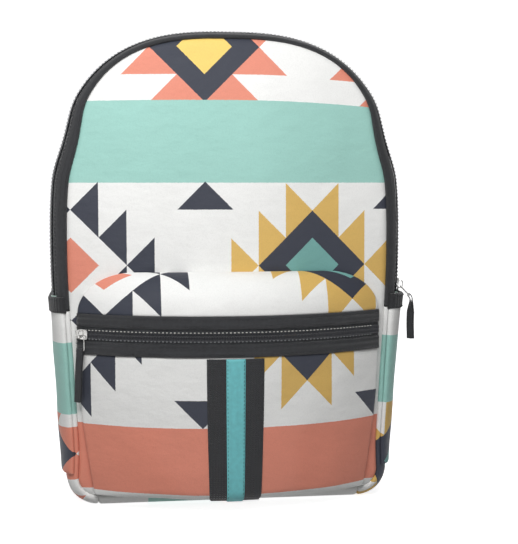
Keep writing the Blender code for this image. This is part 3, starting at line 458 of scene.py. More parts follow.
def frontShare(x, z):
    # Share of the way from the panel's middle to its seam
    way = np.stack([x - panelCentre[0], z - panelCentre[1]], -1)
    angle = np.arctan2(way[..., 1], way[..., 0])
    angle = edgeAngles[0] + np.mod(angle - edgeAngles[0], 2 * math.pi)
    return np.minimum(np.linalg.norm(way, axis=-1) / np.interp(angle, edgeAngles, edgeReach), 1.0)


def frontDepth(x, z):
    return body["frontY"] - body["crown"] * (1 - frontShare(x, z) ** 2)


pocket = {
    "half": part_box("pocket_face")[1].x,
    "footHalf": 0.123,
    "topHalf": 0.088,
    "depth": 0.043,
    "footZ": 0.0125,
    "topZ": 0.211,
    "zipLow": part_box("pocket_face")[1].z,
    "zipHigh": 0.174,
    "binding": 0.0105,
    "seat": 0.0036,
    "footRound": 0.010,
    "footDraw": 0.003,  # by how much less it stands out above the foot than at the zip
    "wall": 0.003,
}


def pocketHalf(z):
    p = pocket
    t = np.clip((z - p["zipHigh"]) / (p["topZ"] - p["zipHigh"]), 0, 1)
    over = p["topHalf"] + (p["half"] - p["topHalf"]) * np.sqrt(1 - t * t)
    s = np.clip((z - p["footZ"]) / (p["zipLow"] - p["footZ"]), 0, 1)
    under = p["footHalf"] + (p["half"] - p["footHalf"]) * np.sin(s * math.pi / 2)
    return np.where(z > p["zipHigh"], over, under)


def pocketSeat(z):
    p = pocket
    inBand = (z >= p["zipLow"] - 1e-6) & (z <= p["zipHigh"] + 1e-6)
    z = np.where(inBand, (p["zipLow"] + p["zipHigh"]) / 2, z)
    return frontDepth(pocketHalf(z), z) - p["seat"]


def pocketPoint(u, depth, z):
    across = pocketHalf(z)
    radius = (across ** 2 + depth ** 2) / (2 * depth)
    bend = np.arcsin(np.clip(across / radius, -1, 1))
    y = pocketSeat(z) + radius - depth - radius * np.cos(bend * u)
    return np.stack(np.broadcast_arrays(radius * np.sin(bend * u), y, z), -1)


def pocketProfile():
    # Depth and height up the pocket's middle, with the row where the zip starts and ends
    p = pocket
    footRound = p["footRound"]
    full = p["depth"] - p["footDraw"]
    topDepth = float(pocketSeat(np.array(p["topZ"])) - frontDepth(np.array(0.0), np.array(p["topZ"]))) + 0.0009
    points = [(p["wall"], p["footZ"]), (p["depth"] * 0.25, p["footZ"]), (p["depth"] * 0.5, p["footZ"])]
    for k in range(9):
        a = k / 8 * math.pi / 2
        points.append((full - footRound * (1 - math.sin(a)), p["footZ"] + footRound * (1 - math.cos(a))))
    for k in range(1, 31):
        t = k / 30
        z = p["footZ"] + footRound + (p["zipLow"] - p["footZ"] - footRound) * t
        points.append((full + (p["depth"] - full) * math.sin(t * math.pi / 2), z))
    low = len(points) - 1
    points.append((p["depth"], p["zipHigh"]))
    for k in range(1, 25):
        a = k / 24 * math.pi / 2
        depth = topDepth + (p["depth"] - topDepth) * math.cos(a)
        points.append((depth, p["zipHigh"] + (p["topZ"] - p["zipHigh"]) * math.sin(a)))
    return np.array(points), low


profile, faceEnd = pocketProfile()
zipSeatY = float(pocketSeat(np.array(pocket["zipLow"])))
zipRadius = (pocket["half"] ** 2 + pocket["depth"] ** 2) / (2 * pocket["depth"])
zipBend = math.asin(pocket["half"] / zipRadius)
zipCentreY = zipSeatY + zipRadius - pocket["depth"]


# Meshes

def newObject(name, mesh, material):
    obj = bpy.data.objects.new(name.replace(" ", "_").replace(",", ""), mesh)
    if material is not None:
        mesh.materials.append(material)
    bpy.context.scene.collection.objects.link(obj)
    return obj


def outward(mesh):
    bm = bmesh.new()
    bm.from_mesh(mesh)
    bmesh.ops.recalc_face_normals(bm, faces=bm.faces)
    bm.to_mesh(mesh)
    bm.free()
    mesh.shade_smooth()
    mesh.set_sharp_from_angle(angle=math.radians(50))


def clothUv(mesh, flat):
    # One place on the cloth for each point, in metres, for every corner that meets there
    layer = mesh.uv_layers.get("cloth") or mesh.uv_layers.new(name="cloth")
    ends = np.zeros(len(mesh.loops), np.int64)
    mesh.loops.foreach_get("vertex_index", ends)
    layer.data.foreach_set("uv", flat[ends].astype(np.float32).ravel())


def changeUv(obj, change):
    layer = obj.data.uv_layers["cloth"].data
    flat = np.zeros(len(layer) * 2, np.float32)
    layer.foreach_get("uv", flat)
    layer.foreach_set("uv", change(flat.reshape(-1, 2)).ravel())


def gridObject(name, outer, inner, uv, material, lining=None, wrap=False):
    # Closed cloth between two grids of points; uv is in metres of cloth
    rows, cols = outer.shape[:2]
    count = rows * cols
    index = np.arange(count).reshape(rows, cols)
    if wrap:
        index = np.hstack([index, index[:, :1]])
    a, b, c, d = index[:-1, :-1], index[1:, :-1], index[1:, 1:], index[:-1, 1:]
    front = np.stack([a, b, c, d], -1).reshape(-1, 4)
    back = np.stack([a, d, c, b], -1).reshape(-1, 4) + count
    edges = [(index[0, :-1], index[0, 1:]), (index[-1, 1:], index[-1, :-1])]
    if not wrap:
        edges += [(index[1:, 0], index[:-1, 0]), (index[:-1, -1], index[1:, -1])]
    rims = [np.stack([p, q, q + count, p + count], -1) for p, q in edges]
    faces = np.concatenate([front, back] + rims)
    mesh = bpy.data.meshes.new(name)
    points = np.concatenate([outer.reshape(-1, 3), inner.reshape(-1, 3)])
    mesh.from_pydata(points.tolist(), [], faces.tolist())
    clothUv(mesh, np.concatenate([uv.reshape(-1, 2), uv.reshape(-1, 2)]))
    obj = newObject(name, mesh, material)
    if lining is not None:
        mesh.materials.append(lining)
        inside = np.zeros(len(faces), np.int32)
        inside[len(front):len(front) + len(back)] = 1
        mesh.polygons.foreach_set("material_index", inside)
    outward(mesh)
    return obj


def closeEnded(low, high, step, fine=0.0012):
    # Even stations with close ones beside both ends, where the cloth turns in
    near = fine * np.array([0.0, 0.35, 1.0, 2.0, 3.4])
    if high - low < fine * 9:
        return np.linspace(low, high, 9)
    middle = np.linspace(low + near[-1], high - near[-1], max(3, int((high - low) / step) + 2))
    return np.concatenate([low + near[:-1], middle, high - near[:-1][::-1]])


def turnIn(values, low, high, width):
    # 1 inside the cloth, easing to 0 where it is folded under at both ends
    away = np.clip(np.minimum(values - low, high - values) / width, 0, 1)
    return np.sqrt(np.clip(1 - (1 - away) ** 2, 0, 1))


def rippled(points, fade, size, depth, seed):
    # Signed distance that each point moves along its normal
    flat = points.reshape(-1, 3)
    moves = [noise.noise(Vector(p) / size + Vector((seed, seed * 0.7, 0))) for p in flat]
    return np.array(moves).reshape(points.shape[:-1]) * depth * fade


# a folded edge sinks by one share of the cloth's thickness and keeps at least the other
foldedEdge = {"sink": 0.7, "least": 0.25}


def stripObject(name, a, q, material, lining=None, thick=0.0016, lift=0.0, edge=0.0011, ripple=0.0,
                rippleSize=0.035, uvTurn=False, mirror=False, bulge=None):
    # Cloth that follows the body between arc lengths a and section lengths q
    aa, qq = np.meshgrid(a, q, indexing="ij")
    base = bodyPoint(aa, qq)
    normal = bodyNormal(aa, qq)
    full = np.minimum(turnIn(qq, q[0], q[-1], edge), turnIn(aa, a[0], a[-1], edge))
    bulged = 0.0 if bulge is None else bulge(aa, qq)
    raised = lift - thick * foldedEdge["sink"] * (1 - full) + bulged
    if ripple:
        calm = np.clip(np.minimum(qq - q[0], q[-1] - qq) / 0.012, 0, 1)
        raised = raised + rippled(base, calm, rippleSize, ripple, 3.1)
    under = np.minimum(lift - thick + bulged, raised - thick * foldedEdge["least"])
    outer = base + normal * raised[..., None]
    inner = base + normal * under[..., None]
    uv = np.stack([qq, aa] if uvTurn else [aa, qq], -1)
    if mirror:
        outer, inner = outer * [-1, 1, 1], inner * [-1, 1, 1]
    return gridObject(name, outer, inner, uv, material, lining)


def finishPiece(obj, bodyName, slotName, *nodes):
    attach(obj, bodyName)
    if nodes:
        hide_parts(*nodes)
    return obj


def catmull(keys, parts):
    p = [np.array(k, float) for k in keys]
    p = [2 * p[0] - p[1]] + p + [2 * p[-1] - p[-2]]
    out = []
    for i in range(1, len(p) - 2):
        for k in range(parts):
            t = k / parts
            out.append(0.5 * (2 * p[i] + (p[i + 1] - p[i - 1]) * t
                              + (2 * p[i - 1] - 5 * p[i] + 4 * p[i + 1] - p[i + 2]) * t * t
                              + (3 * p[i] - p[i - 1] - 3 * p[i + 1] + p[i + 2]) * t ** 3))
    out.append(p[-2])
    return np.array(out)


def wrappedFaces(index):
    corners = index[:-1, :-1], index[1:, :-1], index[1:, 1:], index[:-1, 1:]
    return np.stack(corners, -1).reshape(-1, 4).tolist()


def endCaps(index):
    return [index[0, :-1].tolist(), index[-1, -2::-1].tolist()]


def bandObject(name, path, widths, thicks, across, material, roundness=0.5, steps=10):
    # Flat band along a path with eased long edges and closed ends; uv runs along and across it
    path = np.asarray(path, float)
    along = unit(np.gradient(path, axis=0))
    ways = np.broadcast_to(np.asarray(across, float), path.shape)
    side = unit(ways - along * np.sum(ways * along, axis=1, keepdims=True))
    out = np.cross(side, along)
    w = np.broadcast_to(np.asarray(widths, float), len(path))[:, None] / 2
    h = np.broadcast_to(np.asarray(thicks, float), len(path))[:, None] / 2
    stations = [-1 + 2 * k / steps for k in range(steps + 1)]
    flatShare = 1 - np.clip(h / w, 0, 1) * roundness * 2
    top = [(s * flatShare, np.ones_like(w)) for s in stations]
    curl = []
    for k in range(1, 4):
        a = math.pi / 2 - k * math.pi / 4
        curl.append((flatShare + (1 - flatShare) * math.cos(a), np.full_like(w, math.sin(a))))
    shape = top + curl + [(s * flatShare, -np.ones_like(w)) for s in stations[::-1]][1:]
    curlBack = []
    for k in range(1, 3):
        a = -math.pi / 2 - k * math.pi / 4
        curlBack.append((-flatShare + (1 - flatShare) * math.cos(a), np.full_like(w, math.sin(a))))
    shape += curlBack
    rings = np.stack([path + side * (s * w) + out * (o * h) for s, o in shape], 1)
    lengths = lengthsAlong(path)
    n, m = rings.shape[:2]
    caps = []
    for end in (0, n - 1):
        push = along[end] * h[end] * 0.6 * (-1 if end == 0 else 1)
        caps.append(path[end] + (rings[end] - path[end]) * 0.82 + push)
    rings = np.concatenate([caps[0][None], rings, caps[1][None]])
    lengths = np.concatenate([[lengths[0] - h[0, 0]], lengths, [lengths[-1] + h[-1, 0]]])
    n += 2
    index = np.arange(n * m).reshape(n, m)
    index = np.hstack([index, index[:, :1]])
    faces = wrappedFaces(index) + endCaps(index)
    mesh = bpy.data.meshes.new(name)
    mesh.from_pydata(rings.reshape(-1, 3).tolist(), [], faces)
    widthUv = np.array([float(np.mean(s * w)) for s, _ in shape])
    clothUv(mesh, np.stack(np.broadcast_arrays(lengths[:, None], widthUv[None, :]), -1).reshape(-1, 2))
    obj = newObject(name, mesh, material)
    outward(mesh)
    return obj


def joined(name, parts):
    # One mesh from several, each keeping its own materials
    for o in bpy.context.view_layer.objects:
        o.select_set(False)
    for o in parts:
        o.select_set(True)
    bpy.context.view_layer.objects.active = parts[0]
    bpy.ops.object.join()
    parts[0].name = name.replace(" ", "_")
    return parts[0]


# Repeats: stitches and coil loops, by geometry nodes on a row of points

def repeatTree(name, coil):
    tree = bpy.data.node_groups.new(name, "GeometryNodeTree")
    tree.interface.new_socket("Row", in_out="INPUT", socket_type="NodeSocketGeometry")
    for label in ("Length", "Width", "Height", "Sway"):
        tree.interface.new_socket(label, in_out="INPUT", socket_type="NodeSocketFloat")
    tree.interface.new_socket("Seed", in_out="INPUT", socket_type="NodeSocketInt")
    tree.interface.new_socket("Finish", in_out="INPUT", socket_type="NodeSocketMaterial")
    tree.interface.new_socket("Pieces", in_out="OUTPUT", socket_type="NodeSocketGeometry")
    given = tree.nodes.new("NodeGroupInput").outputs
    if coil:
        arc = put(tree, "GeometryNodeCurveArc", {"Resolution": 8, "Radius": 0.5, "Sweep Angle": math.radians(300),
                                                 "Start Angle": math.radians(30)})
        wire = put(tree, "GeometryNodeCurvePrimitiveCircle", {"Resolution": 5, "Radius": 0.17})
        piece = put(tree, "GeometryNodeCurveToMesh", {"Curve": arc.outputs[0], "Profile Curve": wire.outputs[0],
                                                      "Fill Caps": True}).outputs[0]
        piece = put(tree, "GeometryNodeTransform", {"Geometry": piece,
                                                    "Rotation": (0.0, 0.0, math.radians(90))}).outputs[0]
    else:
        piece = put(tree, "GeometryNodeMeshUVSphere", {"Segments": 8, "Rings": 5, "Radius": 0.5}).outputs[0]
    size = put(tree, "ShaderNodeCombineXYZ", {"X": given["Length"], "Y": given["Width"],
                                              "Z": given["Height"]}).outputs[0]
    piece = put(tree, "GeometryNodeTransform", {"Geometry": piece, "Scale": size}).outputs[0]
    first = put(tree, "GeometryNodeInputNamedAttribute", {"Name": "along"}, data_type="FLOAT_VECTOR").outputs[0]
    second = put(tree, "GeometryNodeInputNamedAttribute", {"Name": "outward"}, data_type="FLOAT_VECTOR").outputs[0]
    turn = put(tree, "FunctionNodeAxesToRotation", {"Primary Axis": second, "Secondary Axis": first},
               primary_axis="Z", secondary_axis="X").outputs[0]
    back = calc(tree, "MULTIPLY", given["Sway"], -1.0)
    sway = put(tree, "FunctionNodeRandomValue", {"Seed": given["Seed"]}, data_type="FLOAT")
    tree.links.new(back, sway.inputs[2])
    tree.links.new(given["Sway"], sway.inputs[3])
    local = put(tree, "ShaderNodeCombineXYZ", {"Z": sway.outputs[1]}).outputs[0]
    tilt = put(tree, "FunctionNodeEulerToRotation", {0: local}).outputs[0]
    turn = put(tree, "FunctionNodeRotateRotation", {0: turn, 1: tilt}, rotation_space="LOCAL").outputs[0]
    placed = put(tree, "GeometryNodeInstanceOnPoints", {"Points": given["Row"], "Instance": piece, "Rotation": turn})
    real = put(tree, "GeometryNodeRealizeInstances", {0: placed.outputs[0]}).outputs[0]
    smooth = put(tree, "GeometryNodeSetShadeSmooth", {0: real}).outputs[0]
    done = put(tree, "GeometryNodeSetMaterial", {"Geometry": smooth, "Material": given["Finish"]}).outputs[0]
    put(tree, "NodeGroupOutput", {"Pieces": done})
    return tree


repeats = {"stitch": repeatTree("stitches along a seam", False), "coil": repeatTree("loops of a zip coil", True)}


def repeatObject(name, kind, rows, length, width, height, sway, seed, finish):
    # rows are lists of (points, directions along, outward directions)
    points, along, up = (np.concatenate([np.asarray(r[k], float).reshape(-1, 3) for r in rows]) for k in range(3))
    mesh = bpy.data.meshes.new(name)
    mesh.from_pydata(points.tolist(), [], [])
    for label, values in (("along", along), ("outward", up)):
        attribute = mesh.attributes.new(label, "FLOAT_VECTOR", "POINT")
        attribute.data.foreach_set("vector", values.astype(np.float32).ravel())
    guide = newObject(name + " guide", mesh, None)
    modifier = guide.modifiers.new("pieces", "NODES")
    modifier.node_group = repeats[kind]
    wanted = {"Length": length, "Width": width, "Height": height, "Sway": sway, "Seed": seed, "Finish": finish}
    for item in repeats[kind].interface.items_tree:
        if item.in_out == "INPUT" and item.name in wanted:
            modifier[item.identifier] = wanted[item.name]
    bpy.context.view_layer.update()
    shown = guide.evaluated_get(bpy.context.evaluated_depsgraph_get())
    made = bpy.data.meshes.new_from_object(shown)
    made.name = name
    bpy.data.objects.remove(guide)
    return newObject(name, made, None if made.materials else finish)


def rowOnPath(points, up, pitch, lift=0.0):
    # Evenly spaced places along a line of points, with their directions
    points = np.asarray(points, float)
    up = np.broadcast_to(np.asarray(up, float), points.shape)
    lengths = lengthsAlong(points)
    stations = np.arange(pitch / 2, lengths[-1], pitch)

    def between(values, where):
        return np.stack([np.interp(where, lengths, values[:, k]) for k in range(3)], -1)

    outwards = unit(between(up, stations))
    ahead = between(points, stations + pitch / 3) - between(points, stations - pitch / 3)
    return between(points, stations) + outwards * lift, unit(ahead), outwards


def rowOnBody(arcs, q, pitch, lift):
    a = np.arange(arcs[0] + pitch, arcs[1] - pitch / 2, pitch)
    q = np.full_like(a, q)
    points = bodyPoint(a, q)
    up = bodyNormal(a, q)
    ahead = unit(bodyPoint(a + 0.0008, q) - bodyPoint(a - 0.0008, q))
    return points + up * lift, ahead, up


print("helpers ready")

# Front, sides, base and back panels

frontPrint = [
    ("star", -0.0223, 0.4092, 1.0, 3.0, "yellow", "navy", "coral"),
    ("star", 0.1630, 0.4080, 1.0, 3.0, "yellow", "navy", "coral"),
    ("band", 0.2895, 0.3622, "mint"),
    ("peaks", -0.0225, 0.2905, 0.1775, 0.0247, 1.0, "navy"),
    ("star", -0.1405, 0.2171, 0.0, 3.0, "coral", "white", "navy"),
    ("star", 0.0735, 0.2160, 0.0, 3.0, "teal", "navy", "mustard"),
    ("band", 0.0180, 0.0775, "coral"),
]
sidePrint = [
    ("band", 0.0840, 0.1480, "mint"),
    ("star", 0.0510, 0.0480, 1.0, 3.0, "yellow", "navy", "coral"),
    ("band", 0.0840, 0.1480, "mint"),
]
rightPrint = [
    ("star", 0.0300, 0.0330, 0.0, 3.0, "teal", "navy", "mustard"),
    ("band", 0.0880, 0.1500, "mint"),
    ("star", 0.0900, 0.0600, 1.0, 2.0, "yellow", "white", "coral"),
]
looks["front"] = printedNeoprene("printed neoprene, front", frontPrint)
looks["side"] = printedNeoprene("printed neoprene, left side", sidePrint)
looks["sideRight"] = printedNeoprene("printed neoprene, right side", rightPrint)
looks["arch"] = printedNeoprene("printed neoprene, gusset", [
    ("star", 0.075, 0.4350, 1.0, 3.0, "yellow", "white", "coral"), ("band", 0.505, 0.575, "mint"),
    ("star", 0.075, 0.6600, 0.0, 3.0, "teal", "navy", "mustard"), ("band", 0.745, 0.815, "mint"),
    ("star", 0.075, 0.8700, 1.0, 3.0, "yellow", "navy", "coral")])
looks["base"] = printedNeoprene("printed neoprene, base", [
    ("band", -0.0740, -0.0070, "mint"), ("band", -0.0070, 0.0045, "coral"), ("band", 0.0045, 0.0250, "navy")])


def panelObject(name, q, faceY, crown, outside, settings, material):
    # Sewn panel inside the gusset, domed by crown, with a valley along its seam
    edge = rimPoints(q, 0.0004, np.linspace(0, total, 421)[:-1])
    shares = np.concatenate([1 - np.array([0.0, 0.003, 0.008, 0.016, 0.03, 0.05]),
                             np.linspace(0.93, 0.02, 62), [0.001]])
    flat = panelCentre + (edge[None] - panelCentre) * shares[:, None, None]
    away = (1 - shares)[:, None] * np.linalg.norm(edge - panelCentre, axis=1)[None]
    fold = np.clip(1 - away / settings["foldWidth"], 0, 1) ** 2 * settings["foldDepth"]
    calm = np.clip(away / settings["calm"], 0, 1)
    domed = crown * (1 - shares[:, None] ** 2)
    depth = domed - fold
    points = np.stack([flat[..., 0], np.full(flat.shape[:2], faceY), flat[..., 1]], -1)
    depth = depth + rippled(points, calm, settings["rippleSize"], settings["ripple"], settings["seed"])
    if settings["slack"]:
        slackFade = np.clip(away / settings["slackCalm"], 0, 1)
        depth = depth + rippled(points * [1.0, 1.0, 0.55], slackFade, settings["slackSize"], settings["slack"], 8.0)
    under = np.minimum(depth, domed) - settings["thick"]
    outer = points + np.stack([0 * depth, outside * depth, 0 * depth], -1)
    inner = points + np.stack([0 * depth, outside * under, 0 * depth], -1)
    # the print droops towards the shoulders, more on the right
    x, z = flat[..., 0], flat[..., 1]
    right, left = settings["droop"]
    reach = settings["droopReach"]
    droop = right * np.clip(x / reach, 0, 1) ** 2 + left * np.clip(-x / reach, 0, 1) ** 2
    printed = np.stack([x, z + droop * np.clip((z - settings["droopZ"]) / settings["droopRise"], 0, 1)], -1)
    return gridObject(name, outer, inner, printed, material, looks["lining"], wrap=True)


panels = {"foldWidth": 0.005, "foldDepth": 0.0016, "ripple": 0.0009, "rippleSize": 0.05, "calm": 0.04, "seed": 2.0,
          "thick": 0.003, "slack": 0.0022, "slackSize": 0.085, "slackCalm": 0.03,
          "droop": (0.0062, 0.0020), "droopReach": 0.14, "droopZ": 0.295, "droopRise": 0.06}
frontPanel = panelObject("front panel cloth", 0.0, body["frontY"], body["crown"], -1, panels, looks["front"])
finishPiece(frontPanel, "pack", "printed_neoprene", "front_panel")
backPanel = panelObject("back panel cloth", sectionLength, body["backY"], 0.0, 1,
                        {**panels, "ripple": 0.0003, "slack": 0.0, "seed": 5.0}, looks["trim"])
finishPiece(backPanel, "pack", "black_neoprene", "back_panel")

zipEnd = arcAtHeight(body["zipEndZ"])
seam = 0.0004
gusset = {"step": 0.004, "ripple": 0.0008, "size": 0.045, "edge": 0.0030, "thick": 0.003}
sideArcs = closeEnded(body["floorHalf"] + seam, zipEnd - seam, gusset["step"])
acrossAll = closeEnded(0.0, sectionLength, gusset["step"])
shift = np.array([0.0, arcAtHeight(0.10) - 0.10], np.float32)  # arc length less height, up the straight side
sides = (("right", False, looks["sideRight"]), ("left", True, looks["side"]))
for side, mirror, look in sides:
    cloth = stripObject("side gusset cloth " + side, sideArcs, acrossAll, look, looks["lining"], gusset["thick"],
                        edge=gusset["edge"], ripple=gusset["ripple"], rippleSize=gusset["size"], uvTurn=True,
                        mirror=mirror)
    changeUv(cloth, lambda uv: uv - shift)
    finishPiece(cloth, "pack", "printed_neoprene", "side_gusset_" + side)
floorArcs = closeEnded(-body["floorHalf"] - seam, body["floorHalf"] + seam, 0.006)
floor = stripObject("base cloth", floorArcs, acrossAll, looks["base"], looks["lining"], gusset["thick"],
                    edge=gusset["edge"], ripple=0.0, uvTurn=True)
finishPiece(floor, "pack", "printed_neoprene", "bottom_panel")
print("panels made")


# Main zip round the arch

zipper = {"binding": 0.0135, "tape": 0.0085, "slot": 0.0014, "rear": 0.010, "pitch": 0.00140,
          "loop": (0.00125, 0.0036, 0.0036), "row": 0.0011, "lift": 0.0009, "sway": 0.03, "step": 0.0045}
zipArcs = closeEnded(zipEnd + seam, total - zipEnd - seam, zipper["step"])
# section lengths where one strip of the zip meets the next, from the front seam
q0 = 0.0
q1 = zipper["binding"]
q2 = q1 + zipper["tape"]
q3 = q2 + zipper["slot"]
q4 = q3 + zipper["tape"]
q5 = q4 + zipper["rear"]
slotMiddle = (q2 + q3) / 2


def zipStrip(name, low, high, material, slotName, nodes, lift=0.0, thick=0.0016, ripple=0.0, fine=0.0006):
    piece = stripObject(name, zipArcs, closeEnded(low, high, 0.0022, fine), material, None, thick, lift, edge=0.0012,
                        ripple=ripple, rippleSize=0.02)
    return finishPiece(piece, "pack", slotName, *nodes)


zipStrip("front binding of the main zip", q0, q1 - seam, looks["binding"], "woven_binding", ["main_zip_front_binding"],
         lift=0.0012, thick=0.0030, ripple=0.0005)
zipStrip("front tape of the main zip", q1 - 0.0010, q2, looks["tape"], "zip_tape", ["main_zip_front_tape"])
zipStrip("rear tape of the main zip", q3, q4 + 0.0010, looks["tape"], "zip_tape", ["main_zip_rear_tape"])
zipStrip("rear binding of the main zip", q4 + seam, q5, looks["binding"], "woven_binding", ["main_zip_rear_binding"],
         lift=0.0010, thick=0.0028, ripple=0.0005)
topAcross = closeEnded(q5 + seam, sectionLength, gusset["step"])
arch = stripObject("top gusset cloth", zipArcs, topAcross, looks["arch"], looks["lining"], gusset["thick"],
                   edge=gusset["edge"], ripple=gusset["ripple"], rippleSize=gusset["size"], uvTurn=True)
finishPiece(arch, "pack", "printed_neoprene", "top_gusset")
for label, q, seed in (("front", q2 - zipper["row"], 1), ("rear", q3 + zipper["row"], 2)):
    arcs = (zipEnd + 0.002 + seed * zipper["pitch"] / 2, total - zipEnd - 0.002)
    coil = repeatObject(label + " coil of the main zip", "coil", [rowOnBody(arcs, q, zipper["pitch"], zipper["lift"])],
                        *zipper["loop"], zipper["sway"], seed, looks["coil"])
    finishPiece(coil, "pack", "zip_teeth", "main_zip_" + label + "_teeth")

thread = {"length": 0.0026, "width": 0.0006, "height": 0.0005, "pitch": 0.0034}
# size of the stitch rows painted beside the zip coils as highlights
highlightStitch = {"length": 0.0019, "width": 0.0009, "height": 0.0006}


def stitches(name, rows, finish="thread", seed=3, slotName="woven_binding", **changes):
    t = {**thread, **changes}
    piece = repeatObject(name, "stitch", rows, t["length"], t["width"], t["height"], 0.06, seed, looks[finish])
    finishPiece(piece, "pack", slotName)


span = (zipEnd + 0.001, total - zipEnd - 0.001)
stitches("stitching of the main zip", [
    rowOnBody(span, q, thread["pitch"], lift) for q, lift in
    ((q0 + 0.0022, 0.00125), (q1 - 0.0024, 0.00125), (q1 + 0.0016, 0.0001), (q4 - 0.0012, 0.0001),
     (q4 + 0.0024, 0.00105), (q5 - 0.0020, 0.00105))])
# a grey stitch row each side of the main zip coil: painted highlight along the coil
stitches("light stitching of the main zip coil",
         [rowOnBody(span, q, thread["pitch"], 0.0019) for q in (q2 - 0.0034, q3 + 0.0034)],
         "greyHighlightThread", seed=10, slotName="zip_tape", **highlightStitch)
sliderZ = 0.196
endTab = {"height": 0.009, "half": 0.008, "sliderHalf": 0.0065, "below": 0.0074, "droop": 0.0012}
tabLow = arcAtHeight(sliderZ) - endTab["sliderHalf"] - endTab["below"]
tabArcs = closeEnded(tabLow - 0.001, tabLow + endTab["height"] - 0.002, 0.001, 0.0003)
tabAcross = closeEnded(slotMiddle - endTab["half"], slotMiddle + endTab["half"], 0.001, 0.0004)


def tabDroop(a, q):
    return -endTab["droop"] * np.clip(np.abs(q - slotMiddle) / endTab["half"], 0, 1) ** 2


for side, mirror, look in sides:
    tab = stripObject("end tab " + side, tabArcs, tabAcross, looks["endTab"], None, 0.0016, 0.0029, edge=0.0010,
                      mirror=mirror, bulge=tabDroop)
    finishPiece(tab, "pack", "end_tab", "main_zip_end_tab_" + side)
print("main zip made")


# Front pocket

pocketCloth = {"thick": 0.003, "edge": 0.0028, "ripple": 0.0010, "size": 0.038,
               "cornerTurn": 0.93, "cornerRows": 1.2}  # inside the shelf's pinched corners
facePrint = [
    ("star", 0.0650, 0.1655, 0.0, 3.0, "teal", "navy", "mustard"),
    ("star", -0.1550, 0.1570, 0.0, 3.0, "coral", "white", "navy"),
    ("peaks", -0.0285, 0.0772, 0.1690, 0.0247, -1.0, "navy"),
    ("band", 0.0180, 0.0775, "coral"),
]
looks["face"] = printedNeoprene("printed neoprene, pocket face", facePrint)
looks["shelf"] = printedNeoprene("printed neoprene, pocket top", [
    ("star", 0.1080, 0.0615, 0.0, 3.0, "teal", "navy", "mustard"),
    ("star", -0.1120, 0.0490, 0.0, 3.0, "coral", "white", "navy")])


def pocketSurface(u, level):
    depth = np.interp(level, np.arange(len(profile)), profile[:, 0])
    z = np.interp(level, np.arange(len(profile)), profile[:, 1])
    return pocketPoint(u, depth, z)


def pocketNormals(u, level, low, high):
    d = 0.35
    if low > 0:  # the shelf: its corners take their direction from just inside
        u = np.clip(u, -pocketCloth["cornerTurn"], pocketCloth["cornerTurn"])
        level = np.minimum(level, high - pocketCloth["cornerRows"])
    up = pocketSurface(u, np.minimum(level + d, high)) - pocketSurface(u, np.maximum(level - d, low))
    across = pocketSurface(np.minimum(u + 0.004, 1), level) - pocketSurface(np.maximum(u - 0.004, -1), level)
    return unit(np.cross(across, up))


def lengthsAcross(points, axis):
    # Lengths along one way of a grid of points, from its first row or column
    steps = np.linalg.norm(np.diff(points, axis=axis), axis=2)
    return np.concatenate([np.zeros_like(np.take(steps, [0], axis)), np.cumsum(steps, axis=axis)], axis=axis)


def pocketSheet(name, low, high, us, material, lining, thick, lift, edge, ripple, unrolled=False, count=90, seed=3.0):
    # Cloth on the pocket between two rows of its profile; unrolled counts its print up from the low row
    levels = np.linspace(low, high, count)
    ll, uu = np.meshgrid(levels, us, indexing="ij")
    base = pocketSurface(uu, ll)
    normal = pocketNormals(uu, ll, low, high)
    runUp, runSide = lengthsAcross(base, 0), lengthsAcross(base, 1)
    awayUp = np.minimum(runUp, runUp[-1:] - runUp)
    awaySide = np.minimum(runSide, runSide[:, -1:] - runSide)
    away = np.minimum(awayUp, awaySide)
    full = np.sqrt(np.clip(1 - (1 - np.clip(away / edge, 0, 1)) ** 2, 0, 1))
    raised = lift - thick * foldedEdge["sink"] * (1 - full)
    if ripple:
        raised = raised + rippled(base, np.clip(away / 0.02, 0, 1), pocketCloth["size"], ripple, seed)
    outer = base + normal * raised[..., None]
    inner = base + normal * np.minimum(lift - thick, raised - thick * foldedEdge["least"])[..., None]
    middle = np.argmin(np.abs(us))
    side = runSide - runSide[:, middle:middle + 1] + base[:, middle:middle + 1, 0]
    uv = [base[..., 0], runUp] if unrolled else [side, base[..., 2]]
    return gridObject(name, outer, inner, np.stack(uv, -1), material, lining)


us = np.sin(np.linspace(-1, 1, 121) * math.pi / 2) * 0.35 + np.linspace(-1, 1, 121) * 0.65
face = pocketSheet("pocket face cloth", 0, faceEnd, us, looks["face"], looks["lining"], pocketCloth["thick"], 0.0,
                   pocketCloth["edge"], pocketCloth["ripple"], count=110)
finishPiece(face, "pack", "printed_neoprene", "pocket_face")
shelf = pocketSheet("pocket top cloth", faceEnd + 1, len(profile) - 1, us, looks["shelf"], looks["lining"],
                    pocketCloth["thick"], 0.0, pocketCloth["edge"], 0.0012, unrolled=True, count=70, seed=6.0)
finishPiece(shelf, "pack", "printed_neoprene", "pocket_top")


def zipPoint(u, z, lift):
    radius = zipRadius + lift
    x, y = radius * np.sin(zipBend * u), zipCentreY - radius * np.cos(zipBend * u)
    return np.stack(np.broadcast_arrays(x, y, z), -1)


zipStrips = {"edge": 0.0012, "least": 0.2, "rippleSize": 0.018, "seed": 1.0, "over": 0.0012, "under": 0.001}
zipReach = zipBend * zipRadius  # half the zip's length


